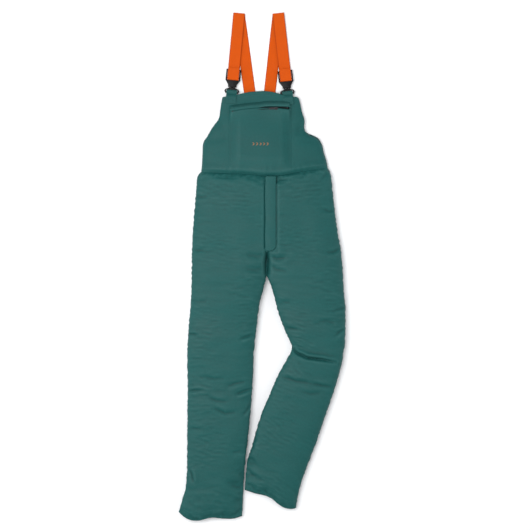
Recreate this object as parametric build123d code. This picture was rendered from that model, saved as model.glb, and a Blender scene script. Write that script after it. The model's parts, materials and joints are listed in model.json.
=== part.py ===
from build123d import *
import os
from collections import namedtuple
from math import asin, atan2, cos, degrees, hypot, radians, sin

# Padded bib-and-brace trousers for chainsaw work, laid flat on their back.
# Millimetres. +Z is up out of the chest, +Y is towards the braces, +X is towards the wearer's left.
# Z = 0 is the surface they lie on. The origin is the middle of the whole garment, seen from above.
# Names use the wearer's right and left.

# ---- overall sizes of the trousers ----
CROTCH_Y = -35.0
WAIST_RISE = 353.0              # crotch to waist seam
CENTRE_X = 12.0                 # the seam between the two halves
WAIST_HALF = {"right": 208.0, "left": 208.0}
GATHER_DROP = 24.0              # the elastic waist lets the cloth out below the seam
GATHER_HALF = {"right": 230.0, "left": 242.0}
HIP_RISE = 95.0                 # crotch to the widest part of the hips
HIP_HALF = {"right": 247.0, "left": 271.0}
CROTCH_HALF = {"right": 247.0, "left": 281.0}
HIP_TOP = 46.0                  # height of the front over the surface

# ---- legs: distances run along the leg from the crotch, leans are from straight down, outwards + ----
THIGH_LEAN = {"right": 6.3, "left": 10.5}
SHIN_LEAN = {"right": 2.4, "left": -18.2}
THIGH_DROP = 100.0
KNEE_DROP = {"right": 285.0, "left": 255.0}
KNEECAP_DROP = 60.0             # from the knee line down to the top of the shin
CALF_DROP = 240.0
ANKLE_DROP = 450.0
SHIN_LENGTH = {"right": 543.0, "left": 535.0}
THIGH_WIDTH = {"right": 241.0, "left": 240.0}
KNEE_WIDTH = {"right": 233.0, "left": 193.0}
KNEECAP_WIDTH = {"right": 231.0, "left": 204.0}
CALF_WIDTH = {"right": 221.0, "left": 214.0}
ANKLE_WIDTH = {"right": 204.0, "left": 200.0}
HEM_WIDTH = {"right": 226.0, "left": 190.0}
THIGH_TOP = 46.0
KNEE_TOP = 43.0
CALF_TOP = 42.0
ANKLE_TOP = 38.0
HEM_TOP = 34.0
SIDE_ROUND = 26.0               # how far in the rounded side of a leg reaches
HEM_ROUND = 18.0

# ---- cloth ----
FABRIC = 1.5
LINING = 1.0
PAD_LAYERS = 4
PAD_LAYER = 1.7                 # one layer of cut-stopping fibre
PAD_GAP = 0.3                   # between layers
SEAM_Z = 14.0                   # the side seams, where front meets back
BACK_FLAT = 3.0                 # the back lies flat to here, then its sides turn up to the seams
HEM_TURNUP = 40.0
HEM_THICK = 1.2
PAD_TOP_GAP = 14.0              # from the waist seam down to the pad
PAD_HEM_GAP = 52.0              # from the hem up to the pad
SIDE_ANGLES = (-90, -55, -20, 20, 55, 90)
END_CUT = 2.0                   # how far a cutter runs past what it cuts
OVERSIZE = 900.0                # half the size of the blocks that divide the cloth

# ---- bib: half widths either side of x = 0, by height above the waist seam ----
BIB_SIDE_RISE = 107.0           # the side seams end here and the armholes begin
BIB_NOTCH_RISE = 158.0
BIB_CHEST_RISE = 221.0
BIB_CORNER_RISE = 262.0
BIB_TOP_RISE = 281.0            # the middle of the top edge
BIB_SIDE_HALF = {"right": 202.0, "left": 202.0}
BIB_NOTCH_HALF = {"right": 171.0, "left": 146.0}
BIB_CHEST_HALF = {"right": 145.0, "left": 134.0}
BIB_CORNER_HALF = {"right": 140.0, "left": 126.0}
BIB_ARCH_HALF = 72.0            # half the width of the arch between the tabs
BIB_TOP = 18.0                  # height of the bib's top edge over the surface
BIB_SIDE_ROUND = 24.0
BIB_EDGE_ROUND = 6.0
BACK_RISE = 187.0               # the top of the high back
BACK_TOP_HALF = 62.0
FACING_MARGIN = 8.0

# ---- bib pocket, in the plane of the bib ----
POCKET_LEFT = -116.0
POCKET_RIGHT = 99.0
POCKET_RISE = 6.0
POCKET_MOUTH = 216.0            # up the bib from the waist seam to the zip's middle
POCKET_ABOVE = 18.0             # cloth above the zip
POCKET_DEPTH = 9.0              # clear depth inside
POCKET_FABRIC = 1.2
POCKET_ROUND = 14.0
MOUTH_TILT = 3.3
MOUTH_MARGIN = 12.0             # from the slit's ends to the pocket's sides

# ---- zips ----
COIL_HALF = 2.2
COIL_THICK = 1.8
TAPE_HALF = 9.0
TAPE_END = 3.0                  # tape past the end stops
TAPE_THICK = 0.6
STOP_LENGTH = 3.0
ZIP_CLEAR = 0.3                 # between the slider and what it runs along
SLIDER_LENGTH = 12.0
SLIDER_WALL = 1.8
SLIDER_ROOF = 1.6
SLIDER_LOOP = 3.2               # height of the posts that hold the pull
PULL_PIN = 0.7
PULL_FIT = 0.06
PULL_LENGTH = 22.0
PULL_WIDTH = 6.0
PULL_THICK = 1.4
SLIT_HALF = 5.2
POCKET_SLIDER_X = 46.0          # where the slider stands, along the mouth

# ---- fly ----
FLY_BOTTOM_RISE = 86.0          # from the crotch
FLY_TOP_DROP = 12.0             # from the waist seam
FLY_FLAP_LEFT = 9.0
FLY_FLAP_RIGHT = 46.0
FLY_ZIP_X = 27.0
FLY_TRAY_HALF = 12.6
FLY_TRAY_DEPTH = 4.5
FLY_TRAY_END = 10.0             # from the flap's ends to the tray's ends
FLY_FLAP_THICK = 1.5
FLY_FLAP_GAP = 0.4              # under the flap's stitched edge
FLY_HINGE_STRIP = 5.0
FLY_SLIDER_TOP_GAP = 9.5        # from the tray's upper end to the slider

# ---- waist ----
WAIST_TAPE_WIDTH = 9.0
WAIST_TAPE_THICK = 1.2
ELASTIC_WIDTH = 32.0
ELASTIC_THICK = 1.6
ELASTIC_HALF = 150.0

# ---- braces ----
STRAP_WIDTH = 40.0
STRAP_THICK = 1.8
FOLD_X = {"right": -80.0, "left": 54.0}
FOLD_Y = 868.0
BAR_X = {"right": -101.0, "left": 80.0}
BAR_Y = {"right": 644.0, "left": 640.0}
ANCHOR_X = -8.0                 # where the rear runs meet on the back
ANCHOR_SPREAD = 0.6             # gap between the two rear runs there
ANCHOR_WIDTH = 92.0
ANCHOR_LENGTH = 54.0
ANCHOR_THICK = 1.2
STRAP_CLEAR = 0.8               # between the front and rear runs
TAIL_LENGTH = 36.0              # the end that doubles back over the bar

# ---- buckle, with its own origin in the middle of the cross bar and +Y towards the fold ----
BUCKLE_Z = 8.0
LADDER_HALF = 25.0
LADDER_ARM = 4.2
LADDER_TOP = 30.0
LADDER_THICK = 5.0
BAR_HALF = 2.4
BAR_THICK = 2.8
WEB_GAP = 0.15                  # webbing to bar
HOUSING_TOP = -7.5
HOUSING_WAIST = -23.0
HOUSING_MOUTH = -31.0
HOUSING_WAIST_HALF = 14.6
HOUSING_MOUTH_HALF = 14.2
HOUSING_THICK = 8.0
CAVITY_TOP = -10.0
CAVITY_THICK = 5.0
CAVITY_MOUTH_HALF = 10.5
CAVITY_TAPER = 0.153            # sideways growth per mm up from the mouth
ARM_PIVOT_X = 7.6
ARM_PIVOT_Y = -33.0
ARM_PIVOT_R = 1.5
ARM_FIT = 0.05
ARM_TIP_Y = -12.0
ARM_WIDTH = 2.6
ARM_THICK = 4.2
ARM_ROOM_IN = 4.4               # the neck is cut back to here for the arms to swing
ARM_SOCKET_LIP = 0.3            # how far the sockets wrap past the pivots
ARM_CLEAR = 0.2                 # between the arm's tip and the cavity wall
TONGUE_HALF = 3.2
TONGUE_TOP = -14.0
PLUG_THICK = 5.0
PLUG_TOP = -31.6
PLUG_NECK_HALF = 11.0
PLUG_SHOULDER = -34.5
PLUG_HALF = 25.0
PLUG_WINDOW_TOP = -39.5
PLUG_WINDOW_BOTTOM = -46.5
PLUG_WINDOW_HALF = 19.4
PLUG_BAR_BOTTOM = -50.5
PLUG_WING_BOTTOM = -54.0
PLUG_WING_THICK = 3.6
TAB_WIDTH = 36.0
TAB_THICK = 1.7
TAB_GAP = 0.2
TAB_ON_BIB = 26.0               # how far the tab runs down the bib
TAB_LIFT = 0.9                  # its sewn part over the bib's cloth
TAB_PAST_EDGE = 3.5             # it stays level until it is past the bib's edge

# ---- small trim ----
TACK_LENGTH = 11.0
TACK_WIDTH = 2.2
TACK_HEIGHT = 0.8
EMBLEM_X = -12.0
EMBLEM_UP = 98.0                # up the bib from the waist seam
EMBLEM_SIZE = 16.0
EMBLEM_HEIGHT = 0.6
EMBLEM_COUNT = 3
EMBLEM_PITCH = 17.0
TRIM_GAP = 0.05

SIDES = ("right", "left")
SIGN = {"right": -1, "left": 1}
WAIST_Y = CROTCH_Y + WAIST_RISE
PAD_START = FABRIC
PAD_THICK = PAD_LAYERS * (PAD_LAYER + PAD_GAP) + PAD_GAP
FRONT_STACK = FABRIC + PAD_THICK + LINING
BACK_STACK = FABRIC + LINING
BIB_SLOPE = degrees(atan2(HIP_TOP - BIB_TOP, BIB_TOP_RISE))

# One cross section of the cloth seen from above: its two edges, and how rounded each side is.
Station = namedtuple("Station", "outer inner top outer_round inner_round")
nodes = {}


def between(a, b, share):
    """The station that lies a share of the way from a to b."""
    def mix(p, q):
        if isinstance(p, tuple):
            return tuple(mix(i, j) for i, j in zip(p, q))
        return p + (q - p) * share
    return Station(*(mix(p, q) for p, q in zip(a, b)))


def trimmed(stations, top, bottom):
    """Stations shortened by top and bottom, or lengthened where those are negative."""
    def share(a, b, amount):
        middle = [((p.outer[0] + p.inner[0]) / 2, (p.outer[1] + p.inner[1]) / 2) for p in (a, b)]
        return amount / hypot(middle[1][0] - middle[0][0], middle[1][1] - middle[0][1])
    first = between(stations[0], stations[1], share(stations[0], stations[1], top))
    last = between(stations[-1], stations[-2], share(stations[-1], stations[-2], bottom))
    return [first, *stations[1:-1], last]


def section(station, inset):
    """The closed outline of a station, upright, with its cloth peeled off by inset."""
    (ox, oy), (ix, iy) = station.outer, station.inner
    width = hypot(ox - ix, oy - iy)
    ux, uy = (ox - ix) / width, (oy - iy) / width
    low, high = inset, station.top - inset
    middle, half = (low + high) / 2, (high - low) / 2

    def side(reach, round_in, sign):
        peel = inset if round_in else 0
        depth = max(round_in - inset, 0)
        points = []
        for angle in SIDE_ANGLES:
            across = reach - peel - depth * (1 - cos(radians(angle)))
            points.append((sign * across, middle + half * sin(radians(angle))))
        return points

    cx, cy = (ox + ix) / 2, (oy + iy) / 2
    right = side(width / 2, station.outer_round, 1)
    left = side(width / 2, station.inner_round, -1)
    flat = right + left[::-1]
    return Wire.make_polygon([Vector(cx + ux * a, cy + uy * a, z) for a, z in flat], close=True)


def hull(stations, inset=0.0, top=0.0, bottom=0.0):
    """A solid through the stations, peeled by inset and shortened at its ends."""
    ends = trimmed(stations, top, bottom)
    return Solid.make_loft([section(s, inset) for s in ends], ruled=True)


def layer(stations, inset, thickness, top=0.0, bottom=0.0):
    """A tube of cloth, open at both ends."""
    hollow = hull(stations, inset + thickness, top - END_CUT, bottom - END_CUT)
    return hull(stations, inset, top, bottom) - hollow


def block(x0, x1, y0, y1, z0, z1):
    """A box between two corners."""
    return Pos((x0 + x1) / 2, (y0 + y1) / 2, (z0 + z1) / 2) * Box(x1 - x0, y1 - y0, z1 - z0)


def above(z):
    """Everything over a height."""
    return block(-OVERSIZE, OVERSIZE, -2 * OVERSIZE, 2 * OVERSIZE, z, z + OVERSIZE)


def below(z):
    """Everything under a height."""
    return block(-OVERSIZE, OVERSIZE, -2 * OVERSIZE, 2 * OVERSIZE, z - OVERSIZE, z)


def limb(side):
    """The stations of one half of the trousers, from the waist seam to the hem."""
    sign = SIGN[side]

    def hip(rise, half):
        y = CROTCH_Y + rise
        return Station((sign * half, y), (CENTRE_X, y), HIP_TOP, SIDE_ROUND, 0.0)

    stations = [
        hip(WAIST_RISE, WAIST_HALF[side]),
        hip(WAIST_RISE - GATHER_DROP, GATHER_HALF[side]),
        hip(HIP_RISE, HIP_HALF[side]),
        hip(FRONT_STACK, CROTCH_HALF[side]),
    ]
    thigh, shin = radians(THIGH_LEAN[side]), radians(SHIN_LEAN[side])
    start = ((sign * CROTCH_HALF[side] + CENTRE_X) / 2, CROTCH_Y)
    knee = along(start, thigh, KNEE_DROP[side], sign)
    bend = (thigh + shin) / 2
    rows = (
        (start, 0.0, sign * (sign * CROTCH_HALF[side] - CENTRE_X), HIP_TOP),
        (along(start, thigh, THIGH_DROP, sign), thigh, THIGH_WIDTH[side], THIGH_TOP),
        (knee, bend, KNEE_WIDTH[side], KNEE_TOP),
        (along(knee, shin, KNEECAP_DROP, sign), shin, KNEECAP_WIDTH[side], KNEE_TOP),
        (along(knee, shin, CALF_DROP, sign), shin, CALF_WIDTH[side], CALF_TOP),
        (along(knee, shin, ANKLE_DROP, sign), shin, ANKLE_WIDTH[side], ANKLE_TOP),
        (along(knee, shin, SHIN_LENGTH[side], sign), shin, HEM_WIDTH[side], HEM_TOP),
    )
    for (x, y), lean, width, top in rows:
        across = (sign * cos(lean) * width / 2, sin(lean) * width / 2)
        rounding = HEM_ROUND if top == HEM_TOP else SIDE_ROUND
        outer, inner = (x + across[0], y + across[1]), (x - across[0], y - across[1])
        stations.append(Station(outer, inner, top, rounding, rounding))
    return stations


def along(start, lean, distance, sign):
    """The point a distance down the leg from start."""
    return (start[0] + sign * sin(lean) * distance, start[1] - cos(lean) * distance)


def fly_span():
    """The lower and upper ends of the fly's flap."""
    return CROTCH_Y + FLY_BOTTOM_RISE, WAIST_Y - FLY_TOP_DROP


def fly_tray(wall=0.0):
    """The recess for the fly zip, grown by a wall."""
    low, high = fly_span()
    low, high = low + FLY_TRAY_END, high - FLY_TRAY_END
    reach = FLY_TRAY_HALF + wall
    return block(FLY_ZIP_X - reach, FLY_ZIP_X + reach, low - wall, high + wall,
                 HIP_TOP - FLY_TRAY_DEPTH - wall, HIP_TOP)


def make_leg(side):
    """Outer fabric, cut pad, lining and hem of one half of the trousers."""
    stations = limb(side)
    shell = layer(stations, 0.0, FABRIC)
    front, back = shell & above(SEAM_Z), shell & below(SEAM_Z)
    if side == "left":
        front = front - fly_tray(FABRIC) + (fly_tray(FABRIC) - fly_tray())
    nodes[f"front_panel_{side}"] = front
    nodes[f"back_panel_{side}"] = back & below(BACK_FLAT)
    nodes[f"back_side_{side}"] = back & above(BACK_FLAT)

    low, high = fly_span()
    fly_room = block(CENTRE_X - FLY_TRAY_HALF, FLY_FLAP_RIGHT, low, WAIST_Y, 0, HIP_TOP)
    pads = []
    for number in range(PAD_LAYERS):
        inset = PAD_START + PAD_GAP + number * (PAD_LAYER + PAD_GAP)
        sheet = layer(stations, inset, PAD_LAYER, PAD_TOP_GAP, PAD_HEM_GAP)
        pads.append((sheet & above(SEAM_Z + PAD_GAP)) - fly_room)
    nodes[f"cut_pad_{side}"] = Compound([s for pad in pads for s in pad.solids()])

    inner = layer(stations, FRONT_STACK - LINING, LINING, 0.0, HEM_TURNUP)
    nodes[f"lining_front_{side}"] = inner & above(SEAM_Z)
    outer = layer(stations, FABRIC, LINING, 0.0, HEM_TURNUP)
    nodes[f"lining_back_{side}"] = outer & below(SEAM_Z)

    hem = layer(stations, FABRIC, HEM_THICK)
    cut = hull(stations, 0.0, 0.0, HEM_TURNUP - END_CUT)
    nodes[f"hem_band_{side}"] = hem - cut


def bib_stations():
    """Stations of the bib from its top edge down to the waist seam, right side as the outer edge."""
    rows = (
        (BIB_TOP_RISE + END_CUT, BIB_CORNER_HALF, BIB_EDGE_ROUND),
        (BIB_CHEST_RISE, BIB_CHEST_HALF, BIB_EDGE_ROUND),
        (BIB_NOTCH_RISE, BIB_NOTCH_HALF, BIB_EDGE_ROUND),
        (BIB_SIDE_RISE, BIB_SIDE_HALF, BIB_SIDE_ROUND),
        (0.0, WAIST_HALF, SIDE_ROUND),
    )
    stations = []
    for rise, half, rounding in rows:
        y = WAIST_Y + rise
        top = HIP_TOP - (HIP_TOP - BIB_TOP) * rise / BIB_TOP_RISE
        stations.append(Station((half["left"], y), (-half["right"], y), top, rounding, rounding))
    return stations


def bib_outline(margin=0.0):
    """An upright block with the bib's arched top edge."""
    corner, crown = WAIST_Y + BIB_CORNER_RISE - margin, WAIST_Y + BIB_TOP_RISE - margin
    foot = WAIST_Y - END_CUT
    middle = (BIB_CORNER_HALF["left"] - BIB_CORNER_HALF["right"]) / 2
    right, left = middle - BIB_ARCH_HALF, middle + BIB_ARCH_HALF
    arch = ThreePointArc((left, corner), (middle, crown), (right, corner))
    walls = Polyline((right, corner), (-OVERSIZE, corner), (-OVERSIZE, foot),
                     (OVERSIZE, foot), (OVERSIZE, corner), (left, corner))
    return extrude(make_face([arch, *walls.edges()]), HIP_TOP + END_CUT)


def make_bib():
    """The bib's front and facing, and the high back behind it."""
    stations = bib_stations()
    shell = layer(stations, 0.0, FABRIC)
    nodes["bib_front"] = shell & bib_outline() & above(SEAM_Z)
    inner = layer(stations, FABRIC, LINING)
    nodes["bib_facing"] = inner & bib_outline(FACING_MARGIN) & above(SEAM_Z)

    shoulder = WAIST_Y + BIB_SIDE_RISE
    peak = WAIST_Y + BACK_RISE
    outline = Polyline(
        (-OVERSIZE, WAIST_Y - END_CUT), (OVERSIZE, WAIST_Y - END_CUT), (OVERSIZE, shoulder),
        (BIB_SIDE_HALF["left"], shoulder), (ANCHOR_X + BACK_TOP_HALF, peak),
        (ANCHOR_X - BACK_TOP_HALF, peak), (-BIB_SIDE_HALF["right"], shoulder), (-OVERSIZE, shoulder),
        close=True,
    )
    shape = extrude(make_face(outline), SEAM_Z)
    nodes["bib_back"] = shell & shape & below(SEAM_Z)
    nodes["back_facing"] = inner & shape & below(SEAM_Z)


def on_bib():
    """The plane of the bib's front: x as the garment's, y up the slope from the waist seam."""
    return Location((0, WAIST_Y, HIP_TOP), (-BIB_SLOPE, 0, 0))


def mouth():
    """The pocket's zip on the bib: x along the mouth, z out of the cloth."""
    middle = (POCKET_LEFT + POCKET_RIGHT) / 2
    return on_bib() * Location((middle, POCKET_MOUTH, 0), (0, 0, MOUTH_TILT))


def slit_half_length():
    """Half the length of the slit that the pocket zip lies in."""
    return (POCKET_RIGHT - POCKET_LEFT) / 2 - MOUTH_MARGIN


def make_pocket():
    """The patch pocket on the bib, with a slit for its zip."""
    width = POCKET_RIGHT - POCKET_LEFT
    height = POCKET_MOUTH + POCKET_ABOVE - POCKET_RISE
    middle = Pos((POCKET_LEFT + POCKET_RIGHT) / 2, POCKET_RISE + height / 2, TRIM_GAP)

    def slab(inset, thick):
        outline = RectangleRounded(width - 2 * inset, height - 2 * inset, POCKET_ROUND - inset)
        return extrude(outline, thick)

    tray = slab(0, POCKET_DEPTH + POCKET_FABRIC) - slab(POCKET_FABRIC, POCKET_DEPTH)
    slit = Box(2 * slit_half_length(), 2 * SLIT_HALF, 4 * POCKET_DEPTH)
    nodes["bib_pocket"] = (on_bib() * (middle * tray)) - (mouth() * slit)


def make_zip(name, place, half_length, stand):
    """Tapes, coil and end stops of a closed zip lying along x at a height over place."""
    tape_length = 2 * (half_length + TAPE_END)
    tape = Pos(0, 0, stand + TAPE_THICK / 2) * Box(tape_length, 2 * TAPE_HALF, TAPE_THICK)
    nodes[f"{name}_tapes"] = place * tape
    coil_length = 2 * (half_length - STOP_LENGTH - ZIP_CLEAR)
    coil_z = stand + TAPE_THICK + COIL_THICK / 2
    nodes[f"{name}_coil"] = place * (Pos(0, 0, coil_z) * Box(coil_length, 2 * COIL_HALF, COIL_THICK))
    stops = []
    for end in (-1, 1):
        at = Pos(end * (half_length - STOP_LENGTH / 2), 0, coil_z + ZIP_CLEAR)
        stops.append(place * (at * Box(STOP_LENGTH, 2 * COIL_HALF + 1, COIL_THICK)))
    nodes[f"{name}_stops"] = Compound(stops)


def make_slider(name, place, x, stand, facing):
    """A slider astride the coil at x, and its pull lying along x the way it faces."""
    floor = stand + TAPE_THICK + ZIP_CLEAR
    ceiling = stand + TAPE_THICK + COIL_THICK + ZIP_CLEAR
    channel = COIL_HALF + ZIP_CLEAR
    body = block(-SLIDER_LENGTH / 2, SLIDER_LENGTH / 2, -channel - SLIDER_WALL, channel + SLIDER_WALL,
                 floor, ceiling + SLIDER_ROOF)
    body = fillet(body.edges().filter_by(Axis.Z), SLIDER_WALL - ZIP_CLEAR)
    body -= block(-SLIDER_LENGTH, SLIDER_LENGTH, -channel, channel, floor - 1, ceiling)
    roof = ceiling + SLIDER_ROOF
    pin_z = roof + SLIDER_LOOP - 2 * PULL_PIN
    eye = PULL_PIN + PULL_FIT
    post_gap = PULL_WIDTH / 2 - PULL_THICK
    for end in (-1, 1):
        y = end * (post_gap + PULL_PIN)
        body += block(-1.4, 1.4, min(y - PULL_PIN, y + PULL_PIN), max(y - PULL_PIN, y + PULL_PIN),
                      roof, roof + SLIDER_LOOP)
    pin = Location((0, 0, pin_z), (90, 0, 0)) * Cylinder(PULL_PIN, 2 * post_gap + PULL_PIN)
    body += pin

    neck = post_gap - ZIP_CLEAR
    ring = Location((0, 0, pin_z), (90, 0, 0)) * Cylinder(eye + 0.8, 2 * neck)
    stem = block(0, PULL_WIDTH, -neck, neck, pin_z - PULL_THICK / 2, pin_z + PULL_THICK / 2)
    paddle = Pos(PULL_WIDTH + (PULL_LENGTH - PULL_WIDTH) / 2, 0, pin_z) * Box(
        PULL_LENGTH - PULL_WIDTH, PULL_WIDTH, PULL_THICK)
    paddle = fillet(paddle.edges().filter_by(Axis.Z), PULL_WIDTH / 3)
    pull = ring + stem + paddle
    pull -= Location((0, 0, pin_z), (90, 0, 0)) * Cylinder(eye, PULL_WIDTH)
    turn = 0 if facing > 0 else 180
    at = place * Location((x, 0, 0), (0, 0, turn))
    nodes[f"{name}_slider"] = at * body
    nodes[f"{name}_pull"] = at * pull
    return at * Location((0, 0, pin_z))


def make_pocket_zip():
    """The zip in the bib pocket's mouth, half open."""
    stand = POCKET_DEPTH - TAPE_THICK - ZIP_CLEAR
    make_zip("pocket_zip", mouth(), slit_half_length() - ZIP_CLEAR, stand)
    middle = (POCKET_LEFT + POCKET_RIGHT) / 2
    return make_slider("pocket_zip", mouth(), POCKET_SLIDER_X - middle, stand, -1)


def fly_place():
    """The fly zip's line: x runs down the fly."""
    low, high = fly_span()
    return Location((FLY_ZIP_X, (low + high) / 2, HIP_TOP - FLY_TRAY_DEPTH), (0, 0, -90))


def make_fly():
    """The fly zip in its tray, and the flap over it."""
    low, high = fly_span()
    half = (high - low) / 2 - FLY_TRAY_END - TAPE_END - ZIP_CLEAR
    make_zip("fly_zip", fly_place(), half, 0.0)
    pin = make_slider("fly_zip", fly_place(), -half + FLY_SLIDER_TOP_GAP, 0.0, 1)

    roof = pin.position.Z + PULL_PIN + PULL_FIT + 0.8 + ZIP_CLEAR
    foot = HIP_TOP + FLY_FLAP_GAP
    flap = block(FLY_FLAP_LEFT, FLY_FLAP_RIGHT, low, high, foot, roof + FLY_FLAP_THICK)
    corners = [e for e in flap.edges().filter_by(Axis.Z) if e.center().Y < low + 1]
    outer = [e for e in corners if e.center().X > FLY_ZIP_X]
    flap = fillet(outer, FLY_TRAY_HALF)
    flap -= block(FLY_FLAP_LEFT - 1, FLY_FLAP_RIGHT - FLY_HINGE_STRIP, low + FLY_HINGE_STRIP, high + 1,
                  foot - 1, roof)
    nodes["fly_flap"] = flap
    return pin


def make_waist():
    """The seam tape in front and the elastic inside the back."""
    reach = min(WAIST_HALF["right"], WAIST_HALF["left"]) - SIDE_ROUND
    z = HIP_TOP + TRIM_GAP
    nodes["waist_tape"] = block(-reach, reach, WAIST_Y - WAIST_TAPE_WIDTH, WAIST_Y - TRIM_GAP,
                                z, z + WAIST_TAPE_THICK)
    z = BACK_STACK + TRIM_GAP
    middle = WAIST_Y - GATHER_DROP / 2
    nodes["waist_elastic"] = block(-ELASTIC_HALF, ELASTIC_HALF, middle - ELASTIC_WIDTH / 2,
                                   middle + ELASTIC_WIDTH / 2, z, z + ELASTIC_THICK)


def strap_angle(side):
    """The turn of the front run from straight up the sheet, and its length from bar to fold."""
    dx, dy = FOLD_X[side] - BAR_X[side], FOLD_Y - BAR_Y[side]
    return -degrees(asin(dx / hypot(dx, dy))), hypot(dx, dy)


def on_buckle(side):
    """The buckle's own frame in the garment."""
    return Location((BAR_X[side], BAR_Y[side], BUCKLE_Z), (0, 0, strap_angle(side)[0]))


def mirrored(points):
    """A half outline, given down its left side, closed by its mirror image."""
    return points + [(-x, y) for x, y in points[::-1]]


def plate(points, thick):
    """A flat plate of an outline, with its middle plane at z = 0."""
    return Pos(0, 0, -thick / 2) * extrude(make_face(Polyline(*points, close=True)), thick)


def cavity_half(y):
    """Half the width of the housing's cavity at y."""
    return CAVITY_MOUTH_HALF + CAVITY_TAPER * (y - HOUSING_MOUTH)


def housing():
    """The half of the buckle that the brace is threaded through."""
    outline = mirrored([
        (-LADDER_HALF, LADDER_TOP), (-LADDER_HALF, HOUSING_TOP), (-HOUSING_WAIST_HALF, HOUSING_WAIST),
        (-HOUSING_MOUTH_HALF, HOUSING_MOUTH),
    ])
    body = plate(outline, LADDER_THICK)
    bottom = mirrored([
        (-LADDER_HALF, HOUSING_TOP), (-HOUSING_WAIST_HALF, HOUSING_WAIST),
        (-HOUSING_MOUTH_HALF, HOUSING_MOUTH),
    ])
    body += plate(bottom, HOUSING_THICK)
    inside = LADDER_HALF - LADDER_ARM
    for low, high in ((HOUSING_TOP, -BAR_HALF), (BAR_HALF, LADDER_TOP - 2 * BAR_HALF)):
        body -= block(-inside, inside, low, high, -LADDER_THICK, LADDER_THICK)
    for z in (BAR_THICK / 2, -BAR_THICK / 2 - LADDER_THICK):
        body -= block(-inside, inside, -BAR_HALF - END_CUT, LADDER_TOP + 1, z, z + LADDER_THICK)
    cavity = mirrored([
        (-cavity_half(CAVITY_TOP), CAVITY_TOP), (-cavity_half(HOUSING_MOUTH - 1), HOUSING_MOUTH - 1),
    ])
    return body - plate(cavity, CAVITY_THICK)


def plug():
    """The half of the buckle that the tab holds: tongue, pivots, and a loop with curled wings."""
    outline = mirrored([
        (-TONGUE_HALF, TONGUE_TOP), (-TONGUE_HALF, PLUG_TOP), (-PLUG_NECK_HALF, PLUG_TOP),
        (-PLUG_NECK_HALF, PLUG_SHOULDER), (-PLUG_HALF + PLUG_WING_THICK, PLUG_SHOULDER - PLUG_WING_THICK),
        (-PLUG_HALF, PLUG_WINDOW_TOP - PLUG_WING_THICK), (-PLUG_HALF, PLUG_WINDOW_BOTTOM),
        (-PLUG_WINDOW_HALF - 1.2, PLUG_WING_BOTTOM), (-PLUG_WINDOW_HALF, PLUG_WING_BOTTOM),
        (-PLUG_WINDOW_HALF, PLUG_BAR_BOTTOM),
    ])
    tongue_thick = CAVITY_THICK - 2 * ARM_CLEAR
    body = plate(outline, PLUG_THICK)
    for z in (tongue_thick / 2, -tongue_thick / 2 - PLUG_THICK):
        body -= block(-TONGUE_HALF - 1, TONGUE_HALF + 1, PLUG_TOP, TONGUE_TOP + 1, z, z + PLUG_THICK)
    body -= block(-PLUG_WINDOW_HALF, PLUG_WINDOW_HALF, PLUG_WINDOW_BOTTOM, PLUG_WINDOW_TOP,
                  -PLUG_THICK, PLUG_THICK)
    for end in (-1, 1):
        socket = Pos(end * ARM_PIVOT_X, ARM_PIVOT_Y, 0) * Cylinder(ARM_PIVOT_R + ARM_FIT, 2 * PLUG_THICK)
        swing = block(*sorted((end * ARM_ROOM_IN, end * (PLUG_NECK_HALF + 1))),
                      ARM_PIVOT_Y + ARM_SOCKET_LIP, PLUG_TOP + 1, -PLUG_THICK, PLUG_THICK)
        body = body - socket - swing
    return body


def arm(end):
    """One spring arm of the plug, on the left (-1) or right (+1) of the buckle."""
    tip_x = cavity_half(ARM_TIP_Y) - ARM_CLEAR
    root_x = ARM_PIVOT_X + ARM_WIDTH / 2
    points = [
        (end * root_x, ARM_PIVOT_Y), (end * tip_x, ARM_TIP_Y), (end * (tip_x - ARM_WIDTH), ARM_TIP_Y + 0.8),
        (end * (root_x - ARM_WIDTH), ARM_PIVOT_Y),
    ]
    root = Pos(end * ARM_PIVOT_X, ARM_PIVOT_Y, 0) * Cylinder(ARM_PIVOT_R, ARM_THICK)
    return plate(points, ARM_THICK) + root


def web_layers():
    """Heights of the webbing's lower and upper layers in the buckle's frame: (low, high) of each."""
    near = BAR_THICK / 2 + WEB_GAP
    return (-near - STRAP_THICK, -near), (near, near + STRAP_THICK)


def strap_front(side):
    """The front run, in the buckle's frame: tail, loop round the bar, main run and fold."""
    length = strap_angle(side)[1]
    (low0, low1), (high0, high1) = web_layers()
    half = STRAP_WIDTH / 2
    loop = -BAR_HALF - WEB_GAP
    run = block(-half, half, loop, length - fold_radius(), low0, low1)
    tail = block(-half, half, loop, TAIL_LENGTH, high0, high1)
    turn = block(-half, half, loop - STRAP_THICK, loop, low0, high1)
    centre = low1 - fold_radius()
    outer = Location((0, length - fold_radius(), centre), (0, 90, 0)) * Cylinder(
        fold_radius(), STRAP_WIDTH)
    inner = Location((0, length - fold_radius(), centre), (0, 90, 0)) * Cylinder(
        fold_radius() - STRAP_THICK, 2 * STRAP_WIDTH)
    bend = (outer - inner) & block(-half, half, length - fold_radius(), length, -OVERSIZE, OVERSIZE)
    return run + tail + turn + bend


def fold_radius():
    """Outer radius of the fold, from the surface up to the top of the front run."""
    return (BUCKLE_Z + web_layers()[0][1]) / 2


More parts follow.
